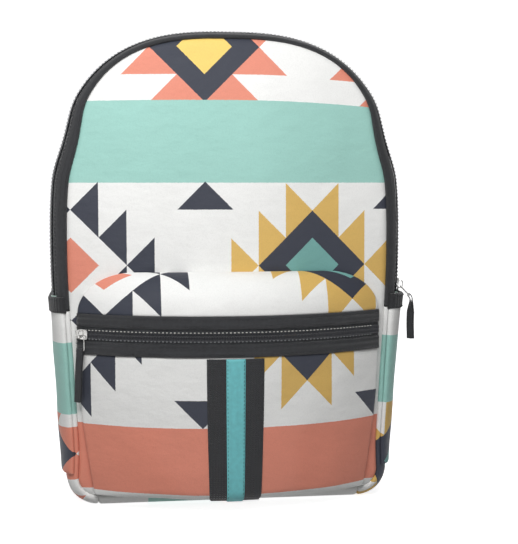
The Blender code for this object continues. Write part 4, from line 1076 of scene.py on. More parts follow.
def zipBand(name, low, high, material, lift, thick, ripple):
    zz, uu = np.meshgrid(closeEnded(low, high, 0.0018, 0.0005), np.linspace(-1.0, 1.0, 141), indexing="ij")
    along = uu * zipBend * zipRadius
    full = np.minimum(turnIn(zz, low, high, zipStrips["edge"]), turnIn(along, -zipReach, zipReach, zipStrips["edge"]))
    raised = lift - thick * foldedEdge["sink"] * (1 - full)
    raised = raised + rippled(zipPoint(uu, zz, 0.0) * [1, 1, 2.5], full, zipStrips["rippleSize"], ripple,
                              zipStrips["seed"])
    under = np.minimum(lift - thick, raised - thick * zipStrips["least"])
    return gridObject(name, zipPoint(uu, zz, raised), zipPoint(uu, zz, under), np.stack([along, zz], -1), material)


low, high, hem = pocket["zipLow"], pocket["zipHigh"], pocket["binding"]
over, under = zipStrips["over"], zipStrips["under"]
zipMiddle = (low + high) / 2
halfSlot = zipper["slot"] / 2
for kind, slotName, lift, thick, ripple, spans in (
        ("binding", "woven_binding", 0.0016, 0.0036, 0.0009, ((low - over, low + hem), (high - hem, high + over))),
        ("tape", "zip_tape", 0.0, 0.0016, 0.0003,
         ((low + hem - under, zipMiddle - halfSlot), (zipMiddle + halfSlot, high - hem + under)))):
    for end, (bottom, top) in zip(("lower", "upper"), spans):
        band = zipBand(end + " " + kind + " of the pocket zip", bottom, top, looks[kind], lift, thick, ripple)
        finishPiece(band, "pack", slotName, "pocket_" + end + "_" + kind)
turns = np.arange(-0.985, 0.985, zipper["pitch"] / zipReach)


def rowOnZip(z, lift, turns):
    z = np.full_like(turns, z)
    angle = zipBend * turns
    along = np.stack([np.cos(angle), np.sin(angle), 0 * angle], -1)
    out = np.stack([np.sin(angle), -np.cos(angle), 0 * angle], -1)
    return zipPoint(turns, z, lift), along, out


for label, z, late, seed in (("lower", zipMiddle - 0.0018, 0.0, 4), ("upper", zipMiddle + 0.0018, 0.0002, 5)):
    coil = repeatObject(label + " coil of the pocket zip", "coil", [rowOnZip(z, zipper["lift"], turns + late)],
                        *zipper["loop"], zipper["sway"], seed, looks["coil"])
    finishPiece(coil, "pack", "zip_teeth", "pocket_" + label + "_teeth")
sewn = np.arange(-0.99, 0.99, thread["pitch"] / zipReach)
# pale stitch row above the pocket zip coil and grey row below it: painted highlight, brighter on the upper side where
# the light falls
for label, drop, finish in (("upper", 0.0039, "paleHighlightThread"), ("lower", -0.0039, "greyHighlightThread")):
    stitches(label + " stitching of the pocket zip coil", [rowOnZip(zipMiddle + drop, 0.0022, sewn[3:-3])], finish,
             seed=9, slotName="zip_tape", **highlightStitch)
stitches("stitching of the pocket zip", [rowOnZip(z, lift, sewn) for z, lift in (
    (low + 0.0014, 0.00165), (low + hem - 0.0022, 0.00165), (high - 0.0014, 0.00165),
    (high - hem + 0.0022, 0.00165), (low + hem + 0.0012, 0.0001), (high - hem - 0.0012, 0.0001))], seed=6)

spine = {"width": 0.050, "ribbon": 0.0165}
halfTurn = math.asin(spine["width"] / 2 / zipRadius) / zipBend
ribbonTurn = math.asin(spine["ribbon"] / 2 / zipRadius) / zipBend
webbingBand = pocketSheet("pocket webbing", 3, faceEnd - 0.6, np.linspace(-halfTurn, halfTurn, 31),
                          looks["webbing"], None, 0.0018, 0.0016, 0.0010, 0.0, count=110)
ribbonBand = pocketSheet("pocket ribbon", 3, faceEnd - 0.6, np.linspace(-ribbonTurn, ribbonTurn, 15),
                         looks["ribbon"], None, 0.0010, 0.0024, 0.0008, 0.0, count=110)
for piece in (webbingBand, ribbonBand):
    changeUv(piece, lambda uv: uv[:, ::-1])  # the weave's ribs run across the band
finishPiece(webbingBand, "pack", "webbing", "pocket_spine_webbing")
finishPiece(ribbonBand, "pack", "turquoise_ribbon", "pocket_spine_ribbon")


def rowOnPocket(u, lowLevel, highLevel, lift, pitch):
    levels = np.linspace(lowLevel, highLevel, 160)
    turns = np.full_like(levels, u)
    return rowOnPath(pocketSurface(turns, levels), pocketNormals(turns, levels, 0, faceEnd), pitch, lift)


stitches("stitching of the pocket webbing", [rowOnPocket(u, 4, faceEnd - 1, lift, thread["pitch"]) for u, lift in (
    (-halfTurn * 0.94, 0.0016), (halfTurn * 0.94, 0.0016), (-ribbonTurn * 0.86, 0.0024), (ribbonTurn * 0.86, 0.0024))],
    seed=7, length=0.0024, width=0.0004, height=0.0003)
print("front pocket made")


# Side pockets

sidePocket = {"mouthZ": 0.188, "footZ": 0.030, "mouthBulge": {"right": 0.0058, "left": 0.0008}, "footBulge": 0.0005,
              "edge": 0.004, "standoff": 0.0006, "thick": 0.0024, "elastic": 0.014, "elasticThick": 0.0044}


def pocketLift(a, q, most):
    z = bodyPoint(a, np.full_like(a, sectionLength / 2))[..., 2]
    share = (q - sidePocket["edge"]) / (sectionLength - 2 * sidePocket["edge"])
    t = np.clip((z - sidePocket["footZ"]) / (sidePocket["mouthZ"] - sidePocket["footZ"]), 0, 1)
    bulge = sidePocket["footBulge"] + (most - sidePocket["footBulge"]) * t ** 1.3
    return sidePocket["standoff"] + bulge * np.clip(4 * share * (1 - share), 0, 1) ** 0.6


footArc = arcAtHeight(sidePocket["footZ"])
mouthArc = arcAtHeight(sidePocket["mouthZ"])
pocketAcross = closeEnded(sidePocket["edge"], sectionLength - sidePocket["edge"], 0.003)
rimAcross = closeEnded(sidePocket["edge"] - 0.0010, sectionLength - sidePocket["edge"] + 0.0010, 0.003)
rimArcs = closeEnded(mouthArc - sidePocket["elastic"], mouthArc + 0.0005, 0.0016, 0.0006)
for side, mirror, look in sides:
    def lifted(a, q, most=sidePocket["mouthBulge"][side]):
        return pocketLift(a, q, most)

    cloth = stripObject("side pocket cloth " + side, closeEnded(footArc, mouthArc - 0.003, 0.0035), pocketAcross,
                        look, looks["lining"], sidePocket["thick"], sidePocket["thick"], edge=0.0025, ripple=0.0013,
                        rippleSize=0.04, uvTurn=True, mirror=mirror, bulge=lifted)
    changeUv(cloth, lambda uv: uv - shift)
    finishPiece(cloth, "pack", "printed_neoprene", "side_pocket_" + side)
    rim = stripObject("side pocket elastic " + side, rimArcs, rimAcross, looks["elastic"], None,
                      sidePocket["elasticThick"], sidePocket["thick"] + 0.0012, edge=0.0016, ripple=0.0006,
                      rippleSize=0.012, uvTurn=True, mirror=mirror, bulge=lifted)
    finishPiece(rim, "pack", "elastic", "side_pocket_elastic_" + side)
    flip = -1 if mirror else 1
    rows = []
    for drop in (0.0018, sidePocket["elastic"] - 0.0018):
        q = np.linspace(sidePocket["edge"] + 0.002, sectionLength - sidePocket["edge"] - 0.002, 120)
        a = np.full_like(q, mouthArc - drop)
        points = bodyPoint(a, q) + bodyNormal(a, q) * (lifted(a, q) + sidePocket["thick"] + 0.0013)[:, None]
        rows.append(rowOnPath(points * [flip, 1, 1], bodyNormal(a, q) * [flip, 1, 1], thread["pitch"]))
    stitches("side pocket stitching " + side, rows, seed=8, slotName="elastic")
print("side pockets made")

# Back: pad, yoke, shoulder straps, adjusters and haul loop

back = {"rest": body["backY"] + 0.0003, "yokeLow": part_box("yoke")[0].z, "yokeHigh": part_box("yoke")[1].z,
        "padLow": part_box("back_pad")[0].z, "padHigh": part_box("back_pad")[1].z, "padHalf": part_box("back_pad")[1].x,
        "padThick": 0.007, "strapWidth": 0.060, "endWidth": 0.034, "strapThick": 0.010, "edgeThick": 0.004,
        "topX": 0.050, "endX": 0.096, "endZ": 0.150, "webbing": 0.025, "webThick": 0.0015, "tabX": 0.122,
        "tabThick": 0.003, "lockLength": 0.030, "lockThick": 0.004, "bar": 0.0035, "drop": 0.021,
        "overlap": 0.010, "taper": 0.028}
puff = {"pressure": 3.0, "frames": 14, "most": 0.0012, "voxel": 0.004}


def roundedPad(name, half, low, high, thick, corner, y, material):
    # Flat pad with rounded corners and a soft edge, its face towards +Y
    bm = bmesh.new()
    bmesh.ops.create_cube(bm, size=1.0)
    for v in bm.verts:
        v.co = Vector((v.co.x * half * 2, y + thick * (0.5 + v.co.y), (low + high) / 2 + v.co.z * (high - low)))
    upright = [e for e in bm.edges if abs(e.verts[0].co.y - e.verts[1].co.y) > thick / 2]
    bmesh.ops.bevel(bm, geom=upright, offset=corner, segments=10, affect="EDGES", profile=0.5)
    outer = [e for e in bm.edges if min(v.co.y for v in e.verts) > y + thick * 0.9]
    bmesh.ops.bevel(bm, geom=outer, offset=thick * 0.45, segments=4, affect="EDGES", profile=0.5)
    mesh = bpy.data.meshes.new(name)
    bm.to_mesh(mesh)
    bm.free()
    obj = newObject(name, mesh, material)
    flatUv(obj)
    outward(mesh)
    return obj


def flatUv(obj):
    # Metres of cloth seen from the back
    co = np.zeros(len(obj.data.vertices) * 3, np.float32)
    obj.data.vertices.foreach_get("co", co)
    clothUv(obj.data, co.reshape(-1, 3)[:, [0, 2]])


def puffed(obj, keepUp):
    # Lets the foam piece swell a little under its cover; keepUp says how free each point is
    mesh = obj.data
    modifier = obj.modifiers.new("voxels", "REMESH")
    modifier.mode = "VOXEL"
    modifier.voxel_size = puff["voxel"]
    bpy.context.view_layer.update()
    made = bpy.data.meshes.new_from_object(obj.evaluated_get(bpy.context.evaluated_depsgraph_get()))
    obj.modifiers.remove(modifier)
    material = mesh.materials[0]
    obj.data = made
    made.materials.clear()
    made.materials.append(material)
    rest = np.array([v.co[:] for v in made.vertices])
    cloth = obj.modifiers.new("swell", "CLOTH")
    cloth.settings.use_pressure = True
    cloth.settings.uniform_pressure_force = puff["pressure"]
    cloth.settings.tension_stiffness = 30
    cloth.settings.compression_stiffness = 30
    cloth.settings.effector_weights.gravity = 0
    cloth.point_cache.frame_start = 1
    cloth.point_cache.frame_end = puff["frames"]
    for k in range(1, puff["frames"] + 1):
        bpy.context.scene.frame_set(k)
    moved = bpy.data.meshes.new_from_object(obj.evaluated_get(bpy.context.evaluated_depsgraph_get()))
    now = np.array([v.co[:] for v in moved.vertices])
    obj.modifiers.remove(cloth)
    bpy.data.meshes.remove(moved)
    bpy.context.scene.frame_set(1)
    move = now - rest
    size = np.linalg.norm(move, axis=1, keepdims=True)
    move = move / np.maximum(size, 1e-9) * np.minimum(size, puff["most"])
    rest = rest + move * keepUp(rest)[:, None]
    made.vertices.foreach_set("co", rest.astype(np.float32).ravel())
    made.update()
    finer = obj.modifiers.new("smooth", "SUBSURF")
    finer.levels = 1
    finer.render_levels = 1
    bpy.context.view_layer.update()
    final = bpy.data.meshes.new_from_object(obj.evaluated_get(bpy.context.evaluated_depsgraph_get()))
    obj.modifiers.remove(finer)
    obj.data = final
    flatUv(obj)
    outward(final)
    return obj


pad = roundedPad("back pad cover", back["padHalf"], back["padLow"], back["padHigh"], back["padThick"] - 0.0006, 0.025,
                 back["rest"] - 0.0006, looks["mesh"])
puffed(pad, lambda p: (p[:, 1] > back["rest"] + 0.002).astype(float))
finishPiece(pad, "pack", "spacer_mesh", "back_pad")
yoke = roundedPad("yoke cloth", 0.088, back["yokeLow"], back["yokeHigh"], 0.004, 0.004, back["rest"], looks["trim"])
finishPiece(yoke, "pack", "black_neoprene", "yoke")


def rectanglePath(cx, cz, halfX, halfZ, y, corner=0.003):
    # Closed line round a rectangle that faces the back
    points = []
    for sx, sz, start in ((1, 1, 0), (-1, 1, 90), (-1, -1, 180), (1, -1, 270)):
        for k in range(5):
            a = math.radians(start + 22.5 * k)
            points.append((cx + sx * (halfX - corner) + corner * math.cos(a), y,
                           cz + sz * (halfZ - corner) + corner * math.sin(a)))
    points.append(points[0])
    return np.array(points)


padMiddle = (back["padLow"] + back["padHigh"]) / 2
padReach = (back["padHigh"] - back["padLow"]) / 2
yokeMiddle = (back["yokeLow"] + back["yokeHigh"]) / 2
yokeReach = (back["yokeHigh"] - back["yokeLow"]) / 2
towardsBack = [0.0, 1.0, 0.0]
yokeSeam = rectanglePath(0, yokeMiddle, 0.0845, yokeReach - 0.0035, back["rest"] + 0.0041)
stitches("stitching of the yoke", [rowOnPath(yokeSeam, towardsBack, thread["pitch"])], seed=9,
         slotName="black_neoprene")
padRim = rectanglePath(0, padMiddle, back["padHalf"] - 0.0012, padReach - 0.0012, back["rest"] + 0.0012, 0.025)
padEdge = bandObject("pad binding", padRim, 0.0026, 0.0024, towardsBack, looks["binding"], steps=3)
finishPiece(padEdge, "pack", "spacer_mesh")


def strapEnd():
    end = np.array([back["endX"], back["rest"] + 0.018, back["endZ"]])
    target = np.array([back["tabX"] - 0.004, back["rest"] + back["tabThick"], 0.056])
    return end, unit(target - end)


def strapPath(parts):
    end, down = strapEnd()
    rest, x = back["rest"], back["topX"]
    flat = rest + back["edgeThick"] / 2 + 0.0006
    keys = [(x, flat, back["yokeLow"] - 0.0006), (x, flat + 0.0003, back["yokeLow"] - 0.005),
            (x, rest + back["strapThick"] / 2 + 0.004, back["yokeLow"] - 0.017),
            (x + 0.001, rest + back["padThick"] + back["strapThick"] / 2 + 0.004, back["padHigh"] + 0.004),
            (x + 0.009, rest + 0.027, back["padHigh"] - 0.035),
            (x + 0.020, rest + 0.029, (back["padHigh"] + back["endZ"]) / 2),
            end - down * 0.045, end - down * (back["overlap"] + 0.003), end]
    return catmull(keys, parts)


def flipped(points, sign):
    return np.array(points) * [sign, 1.0, 1.0]


strapLevel = np.array([1.0, 0.0, 0.0])
for side, sign in (("right", 1.0), ("left", -1.0)):
    path = flipped(strapPath(12), sign)
    lengths = lengthsAlong(path)
    left = lengths[-1] - lengths
    widths = back["strapWidth"] + (back["endWidth"] - back["strapWidth"]) * np.clip(1 - left / 0.070, 0, 1) ** 1.6
    thinEnd = np.minimum(1.0, 1 + (back["overlap"] + 0.002 - left) / back["taper"])
    thin = np.clip(np.maximum(1 - lengths / back["taper"], thinEnd), 0, 1)
    thicks = back["strapThick"] + (back["edgeThick"] - back["strapThick"]) * thin
    strap = bandObject("shoulder strap cover " + side, path, widths - 0.002, thicks - 0.0004, strapLevel, looks["mesh"],
                       roundness=0.8, steps=16)
    ends = path[[0, -1]]

    def awayFromEnds(p):
        return np.clip((np.min(np.linalg.norm(p[:, None] - ends[None], axis=2), axis=1) - 0.03) / 0.03, 0, 1)

    puffed(strap, awayFromEnds)
    finishPiece(strap, "pack", "spacer_mesh", "shoulder_strap_" + side)
    along = unit(np.gradient(path, axis=0))
    way = unit(strapLevel - along * (along @ strapLevel)[:, None])
    out = np.cross(way, along)
    parts = []
    for hand in (-1, 1):
        edge = path + way * hand * (widths / 2 - 0.0016)[:, None]
        parts.append(bandObject("strap binding", edge, 0.0034, thicks * 0.55 + 0.0012, way, looks["binding"],
                                steps=4))
    binding = joined("strap binding " + side, parts)
    finishPiece(binding, "pack", "woven_binding")
    outwards = out * (1 if out[:, 1].mean() > 0 else -1)
    rows = []
    for hand in (-1, 1):
        sewnLine = path + way * hand * (widths / 2 - 0.006)[:, None] + outwards * (thicks / 2 + 0.0001)[:, None]
        rows.append(rowOnPath(sewnLine[14:-8], outwards[14:-8], thread["pitch"]))
    stitches("strap stitching " + side, rows, seed=10, slotName="spacer_mesh")
    end, down = (flipped(v, sign) for v in strapEnd())
    across = unit(strapLevel - down * down[0])
    face = np.cross(across, down)
    face = face if face[1] > 0 else -face
    bar = end + down * (back["drop"] - back["lockLength"] / 2)
    off = (max(back["lockThick"], back["edgeThick"]) + back["webThick"]) / 2 + 0.0006
    turn = back["bar"] / 2 + back["webThick"] / 2 + 0.0006
    fold = [end - down * back["overlap"] + face * off, end + face * off, bar + face * off]
    for k in range(1, 16):
        a = k / 16 * math.pi
        swing = math.copysign(abs(math.cos(a)) ** 0.6, math.cos(a)) if k != 8 else 0.0
        fold.append(bar + face * off * swing + down * turn * math.sin(a) ** 0.6)
    fold += [bar - face * off, end - face * off, end - down * back["overlap"] - face * off]
    loopPiece = bandObject("lock loop webbing " + side, fold, back["webbing"], back["webThick"], across,
                           looks["webbing"], steps=6)
    finishPiece(loopPiece, "pack", "webbing", "lock_loop_" + side)
    middle = end + down * back["drop"]
    hang = back["lockThick"] / 2 + back["webThick"] / 2 + 0.0005
    seat = back["rest"] + back["tabThick"] + 0.0003 + back["webThick"] / 2
    lower = flipped([back["tabX"], seat, 0.030], sign)
    upper = flipped([back["tabX"] - 0.004, seat, 0.046], sign)
    lead = middle + down * (back["lockLength"] / 2 + 0.006) - face * hang
    inside = [middle + down * 0.004 - face * hang, middle + down * 0.001 - face * hang * 0.72, middle - down * 0.0006,
              middle + down * 0.001 + face * hang * 0.72, middle + down * 0.004 + face * hang]
    tail = [middle + down * (back["lockLength"] / 2 + 0.004) + face * hang,
            middle + down * (back["lockLength"] / 2 + 0.030) + face * (hang + 0.002),
            middle + down * (back["lockLength"] / 2 + 0.060) + face * (hang + 0.001)]
    climb = catmull([lower, upper, (upper + lead) / 2 + face * 0.001, lead], 5)
    web = np.array(list(climb) + inside + list(catmull([inside[-1]] + tail, 4))[1:])
    levelAcross = unit(across * [1.0, 0.0, 1.0])
    share = np.clip((np.arange(len(web)) - 7) / 6, 0, 1)[:, None]
    webbing = bandObject("strap webbing " + side, web, back["webbing"], back["webThick"],
                         levelAcross + (across - levelAcross) * share, looks["webbing"], steps=6)
    finishPiece(webbing, "pack", "webbing", "strap_webbing_" + side)
    tabBottom, tabTop = (corner.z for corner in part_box("corner_tab_right"))
    tab = roundedPad("corner tab cloth " + side, 0.015, tabBottom, tabTop, back["tabThick"], 0.004, back["rest"],
                     looks["trim"])
    tab.data.transform(Matrix.Translation((sign * back["tabX"], 0, 0)))
    finishPiece(tab, "pack", "black_neoprene", "corner_tab_" + side)
    boxed = rectanglePath(sign * back["tabX"], 0.0375, 0.0105, 0.0085, seat + back["webThick"] / 2 + 0.0001)
    stitches("corner stitching " + side, [rowOnPath(boxed, towardsBack, 0.0026)], seed=11, slotName="webbing",
             length=0.0019)

loopSize = {"half": 0.052, "flat": 0.012, "reach": 0.024, "width": 0.020, "thick": 0.0022}
restY = back["rest"] + loopSize["thick"] / 2
loopZ = back["yokeHigh"] + 0.0013 + loopSize["width"] / 2
keys = [(loopSize["half"], restY, loopZ), (loopSize["half"] - loopSize["flat"], restY, loopZ),
        (loopSize["half"] - loopSize["flat"] - 0.008, restY + loopSize["reach"] * 0.35, loopZ),
        (0.015, restY + loopSize["reach"] * 0.93, loopZ), (0.0, restY + loopSize["reach"], loopZ)]
keys = keys + [(-x, y, z) for x, y, z in keys[-2::-1]]
path = catmull(keys, 10)
path[:, 1] = np.maximum(path[:, 1], restY)
haul = bandObject("haul loop webbing", path, loopSize["width"], loopSize["thick"], [0, 0, 1], looks["webbing"], steps=8)
finishPiece(haul, "pack", "webbing", "haul_loop")
sewnY = restY + loopSize["thick"] / 2 + 0.0001
stitches("haul loop stitching", [rowOnPath(rectanglePath(x, loopZ, 0.0048, 0.0078, sewnY, 0.001), towardsBack, 0.0024)
                                 for x in (0.0460, -0.0460)], seed=12, length=0.0018, slotName="webbing")
print("back and straps made")


# Hard parts: ladder locks, sliders, rings and their ribbons

def eased(name, node, width, segments, material):
    # Copy of a moulded or cast part with its edges rounded
    source = frame["nodes"][node]
    obj = newObject(name, source.data.copy(), None)
    obj.data.materials.clear()
    obj.data.materials.append(material)
    bm = bmesh.new()
    bm.from_mesh(obj.data)
    bmesh.ops.remove_doubles(bm, verts=bm.verts, dist=1e-6)
    bmesh.ops.dissolve_limit(bm, angle_limit=0.02, verts=bm.verts, edges=bm.edges)
    sharp = [e for e in bm.edges if len(e.link_faces) == 2 and e.calc_face_angle(0) > 0.5]
    bmesh.ops.bevel(bm, geom=sharp, offset=width, segments=segments, affect="EDGES", profile=0.5, clamp_overlap=True)
    bm.to_mesh(obj.data)
    bm.free()
    outward(obj.data)
    return obj


for side in ("right", "left"):
    lock = eased("moulded ladder lock " + side, "ladder_lock_" + side, 0.0009, 3, looks["plastic"])
    finishPiece(lock, "pack", "lock_plastic", "ladder_lock_" + side)


def tubeObject(name, path, radius, material, closed=False, sides=8):
    # Round wire along a path that lies in one plane
    path = np.asarray(path, float)
    n = len(path)
    if closed:
        along = unit(np.roll(path, -1, axis=0) - np.roll(path, 1, axis=0))
    else:
        along = unit(np.gradient(path, axis=0))
    normal = np.linalg.svd(path - path.mean(axis=0))[2][2]
    side = unit(np.cross(along, normal))
    turns = [2 * math.pi * k / sides for k in range(sides)]
    rings = np.stack([path + (side * math.cos(a) + normal * math.sin(a)) * radius for a in turns], 1)
    index = np.arange(n * sides).reshape(n, sides)
    index = np.hstack([index, index[:, :1]])
    if closed:
        index = np.vstack([index, index[:1]])
    faces = wrappedFaces(index)
    if not closed:
        faces += endCaps(index)
    mesh = bpy.data.meshes.new(name)
    mesh.from_pydata(rings.reshape(-1, 3).tolist(), [], faces)
    obj = newObject(name, mesh, material)
    outward(mesh)
    return obj


metal = {"length": 0.013, "width": 0.0088, "plate": 0.0012,
         "under": 0.0016 + 0.0004 + 0.00035,  # tape, running gap, and the tape's curve
         "top": 0.0003 + 0.0014 + 0.0004,  # coil's seat, coil, running gap
         "bailLength": 0.0070, "bailHeight": 0.0040, "wall": 0.0009, "ringLength": 0.0125, "ringWidth": 0.0095,
         "ringCorner": 0.0012, "wire": 0.0010, "cloth": 0.0008, "ribbon": 0.0065}


def plateObject(name, origin, travel, across, out, low, high, material):
    # Shield-shaped slider plate, wider where the two rows come together
    m = metal
    shape = []
    for t in np.linspace(0, 1, 12):
        w = m["width"] / 2 * (0.62 + 0.38 * math.sin(min(t * 1.5, 1.0) * math.pi / 2))
        shape.append((-m["length"] / 2 + m["length"] * 0.88 * t, w))
    for k in range(1, 9):
        a = k / 8 * math.pi / 2
        shape.append((m["length"] * 0.38 + m["length"] * 0.12 * math.sin(a),
                      m["width"] / 2 * (0.35 + 0.65 * math.cos(a))))
    outlinePoints = shape + [(x, -w) for x, w in shape[::-1]]
    bm = bmesh.new()
    bottom = [bm.verts.new(tuple(origin + travel * x + across * w + out * low)) for x, w in outlinePoints]
    top = [bm.verts.new(tuple(origin + travel * x + across * w + out * high)) for x, w in outlinePoints]
    bm.faces.new(bottom)
    lid = bm.faces.new(top[::-1])
    for k in range(len(top)):
        ahead = (k + 1) % len(top)
        bm.faces.new((bottom[k], bottom[ahead], top[ahead], top[k]))
    bmesh.ops.bevel(bm, geom=list(lid.edges), offset=0.00035, segments=2, affect="EDGES", profile=0.5)
    mesh = bpy.data.meshes.new(name)
    bm.to_mesh(mesh)
    bm.free()
    obj = newObject(name, mesh, material)
    outward(mesh)
    return obj


def sliderObject(name, origin, travel, across, out, turned, node, bodyName):
    # Two plates, the neck between them and the bail; turned sets the bail across the travel
    m = metal
    deck = m["top"] + m["plate"]
    upper = plateObject("upper", origin, travel, across, out, m["top"], deck, looks["nickel"])
    lower = plateObject("lower", origin, travel, across, out, -m["under"] - m["plate"], -m["under"], looks["nickel"])
    neck = plateNeck(origin, travel, across, out)
    along = across if turned else travel
    b = m["bailLength"] / 2 - m["wall"] / 2
    rise = m["bailHeight"] - m["wall"] / 2
    arch = [(-b, -0.0003), (-b, rise * 0.45)]
    for a in np.linspace(0.12, math.pi / 2, 9):
        arch.append((-b * math.cos(a) ** 0.5, rise * 0.45 + rise * 0.55 * math.sin(a) ** 0.7))
    arch = arch + [(-x, y) for x, y in arch[-2::-1]]
    points = [origin + along * x + out * (deck + y) for x, y in arch]
    bail = tubeObject("bail", points, m["wall"] * 0.55, looks["nickel"])
    piece = joined(name, [upper, lower, neck, bail])
    return finishPiece(piece, bodyName, "slider_metal", node)


def plateNeck(origin, travel, across, out):
    m = metal
    bm = bmesh.new()
    bmesh.ops.create_cube(bm, size=1.0)
    for v in bm.verts:
        spot = v.co.copy()
        x = m["length"] / 2 - 0.0025 + spot.x * 0.003
        y = spot.y * 0.0007
        z = (m["top"] - m["under"]) / 2 + spot.z * (m["top"] + m["under"] + 0.0002)
        v.co = Vector(origin + travel * x + across * y + out * z)
    mesh = bpy.data.meshes.new("neck")
    bm.to_mesh(mesh)
    bm.free()
    obj = newObject("neck", mesh, looks["nickel"])
    outward(mesh)
    return obj


def pullPieces(name, hinge, hang, cross, out, tilt, keys, twist, drift, bodyName):
    # Wire ring, tilted away from the slider, and the ribbon folded through it; keys give the ribbon's middle line
    m = metal
    c, s = math.cos(math.radians(tilt)), math.sin(math.radians(tilt))
    ringHang = hang * c + out * s
    w, halfWidth, reach = m["wire"] / 2, m["ringWidth"] / 2 - m["wire"] / 2, m["ringLength"] - m["wire"] / 2
    corner = m["ringCorner"]
    shape = []
    for cx, cy, start in ((reach - corner, halfWidth - corner, 0), (corner, halfWidth - corner, 90),
                          (corner, -halfWidth + corner, 180), (reach - corner, -halfWidth + corner, 270)):
        for k in range(5):
            a = math.radians(start + 22.5 * k)
            shape.append((cx + corner * math.cos(a), cy + corner * math.sin(a)))
    ring = tubeObject(name + " ring", [hinge + ringHang * x + cross * y for x, y in shape], w, looks["nickel"],
                      closed=True)
    finishPiece(ring, bodyName, "slider_metal", bodyName + "_ring")
    start = np.array([reach * c, reach * s])
    middle = catmull([start] + [start + np.array(k) for k in keys], 6)
    last = len(middle) - 1
    thick = m["cloth"]
    wide, thin = w + thick / 2 + 0.0004, thick / 2 + 0.0005
    legs = ([], [])
    for i, p in enumerate(middle):
        along = unit(middle[min(i + 1, last)] - middle[max(i - 1, 0)])
        side = np.array([-along[1], along[0]])
        off = thin + (wide - thin) * max(0.0, 1 - np.linalg.norm(p - middle[0]) / 0.006)
        legs[0].append(p + side * off)
        legs[1].append(p - side * off)
    first = unit(middle[1] - middle[0])
    side = np.array([-first[1], first[0]])
    bend = [middle[0] + side * wide * math.cos(math.pi * k / 8) - first * wide * math.sin(math.pi * k / 8)
            for k in range(1, 8)]
    flat = np.array(legs[0][::-1] + bend + legs[1])
    longest = flat[:, 0].max()
    path = [hinge + hang * h + out * o + cross * drift * (max(h - reach, 0.0) / longest) for h, o in flat]
    turns = np.radians(twist) * np.clip((flat[:, 0] - reach) / 0.012, 0, 1)[:, None]
    ribbon = bandObject(name + " ribbon", path, m["ribbon"], thick, cross * np.cos(turns) + out * np.sin(turns),
                        looks["binding"], steps=5)
    finishPiece(ribbon, bodyName, "woven_binding", bodyName + "_ribbon")


def hingeSpot(origin, hang, out):
    m = metal
    height = m["top"] + m["plate"] + (m["bailHeight"] - m["wall"]) / 2
    drop = m["bailLength"] / 2 - m["wall"] - m["wire"] / 2 - 0.0003
    return origin + out * height + hang * drop


def onTrack(ask, a):
    return ask(np.array([a]), np.array([slotMiddle]))[0]


a = arcAtHeight(sliderZ)
origin = onTrack(bodyPoint, a)
out = onTrack(bodyNormal, a)
travel = unit(onTrack(bodyPoint, a + 0.001) - onTrack(bodyPoint, a - 0.001))
across = np.cross(out, travel)
sliderObject("cast slider of the main zip", origin, travel, across, out, False, "main_slider", "main_slider")
pullPieces("main pull", hingeSpot(origin, -travel, out), -travel, across, out, 46.0,
           [(0.002, 0.0016), (0.006, 0.0022), (0.014, 0.0020), (0.026, 0.0022), (0.040, 0.0032)], 48.0, 0.0,
           "main_pull")
angle = zipBend * -0.95
out = np.array([math.sin(angle), -math.cos(angle), 0.0])
origin = np.array([0.0, zipCentreY, zipMiddle]) + out * zipRadius
travel = np.array([math.cos(angle), math.sin(angle), 0.0])
up = np.array([0.0, 0.0, 1.0])
sliderObject("cast slider of the pocket zip", origin, travel, up, out, True, "pocket_slider", "pocket_slider")
pullPieces("pocket pull", hingeSpot(origin, -up, out), -up, travel, out, 0.0,
           [(0.004, 0.0), (0.014, 0.0004), (0.030, 0.0), (0.046, -0.0004)], 0.0, -0.004, "pocket_pull")
print("hard parts made")


# Floor, lights and camera

def stageMaterial():
    mat, tree, shader = startMaterial("matt white studio paper", 0.9)
    shader.inputs["Emission Color"].default_value = (1.0, 1.0, 1.0, 1.0)
    shader.inputs["Base Color"].default_value = (0.86, 0.86, 0.86, 1.0)
    shader.inputs["Emission Strength"].default_value = studio["glow"]
    return mat


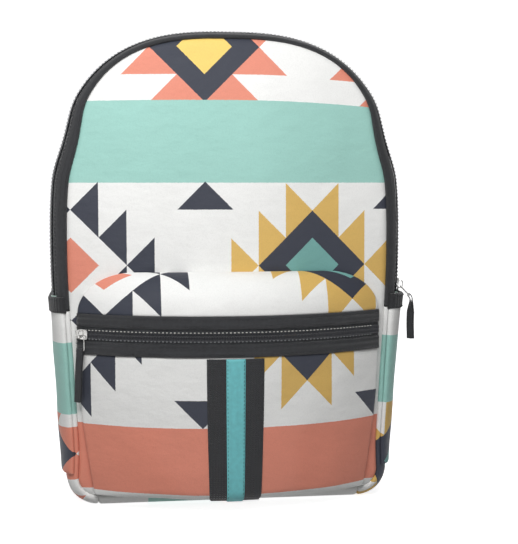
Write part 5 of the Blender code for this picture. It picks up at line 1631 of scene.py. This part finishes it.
studio = {"cameraPlace": (-0.115, -1.10, 0.291), "yaw": 7.67, "pitch": 4.4, "focal": 1183.0, "photoWidth": 518,
          "key": 4.8, "fill": 0.45, "front": 0.3, "sky": 0.23, "back": 5.0, "glow": 0.8}
bm = bmesh.new()
reach = [(-3.0, 0.0), (0.9, 0.0)]
for t in np.linspace(0.15, math.pi / 2, 12):
    reach.append((0.9 + 0.6 * math.sin(t), 0.6 - 0.6 * math.cos(t)))
reach.append((1.5, 3.0))
lefts = [bm.verts.new((-4.0, y, z)) for y, z in reach]
rights = [bm.verts.new((4.0, y, z)) for y, z in reach]
for k in range(len(reach) - 1):
    bm.faces.new((lefts[k], rights[k], rights[k + 1], lefts[k + 1]))
mesh = bpy.data.meshes.new("studio sweep")
bm.to_mesh(mesh)
bm.free()
mesh.shade_smooth()
sweep = newObject("studio sweep", mesh, stageMaterial())
sweep.visible_diffuse = False  # the paper throws no light back up under the bag


def areaLight(name, place, target, size, power):
    light = bpy.data.lights.new(name, "AREA")
    light.shape = "RECTANGLE"
    light.size, light.size_y = size
    light.energy = power
    obj = bpy.data.objects.new(name, light)
    obj.location = place
    obj.rotation_euler = (Vector(target) - Vector(place)).to_track_quat("-Z", "Y").to_euler()
    bpy.context.scene.collection.objects.link(obj)


areaLight("key softbox", (-0.16, -0.58, 0.66), (0.0, -0.05, 0.27), (0.6, 0.3), studio["key"])
areaLight("front softbox", (0.7, -2.0, 0.6), (0.0, 0.0, 0.22), (1.4, 1.2), studio["front"])
areaLight("side softbox", (-1.7, -0.6, 0.8), (0.0, 0.0, 0.2), (1.0, 1.2), studio["fill"])
areaLight("back softbox", (0.1, 0.8, 0.98), (0.0, 0.09, 0.22), (0.9, 0.3), studio["back"])
world = bpy.data.worlds.new("soft grey room")
world.use_nodes = True
world.node_tree.nodes["Background"].inputs[0].default_value = (1.0, 1.0, 1.0, 1.0)
world.node_tree.nodes["Background"].inputs[1].default_value = studio["sky"]
bpy.context.scene.world = world
camera = bpy.data.cameras.new("camera")
camera.sensor_fit = "HORIZONTAL"
camera.lens = studio["focal"] * camera.sensor_width / studio["photoWidth"]
camera.clip_start = 0.05
cameraObject = bpy.data.objects.new("camera", camera)
cameraObject.location = studio["cameraPlace"]
cameraObject.rotation_euler = (math.radians(90 - studio["pitch"]), 0.0, math.radians(-studio["yaw"]))
bpy.context.scene.collection.objects.link(cameraObject)
bpy.context.scene.camera = cameraObject
bpy.context.scene.view_settings.view_transform = "Standard"

bpy.context.view_layer.update()
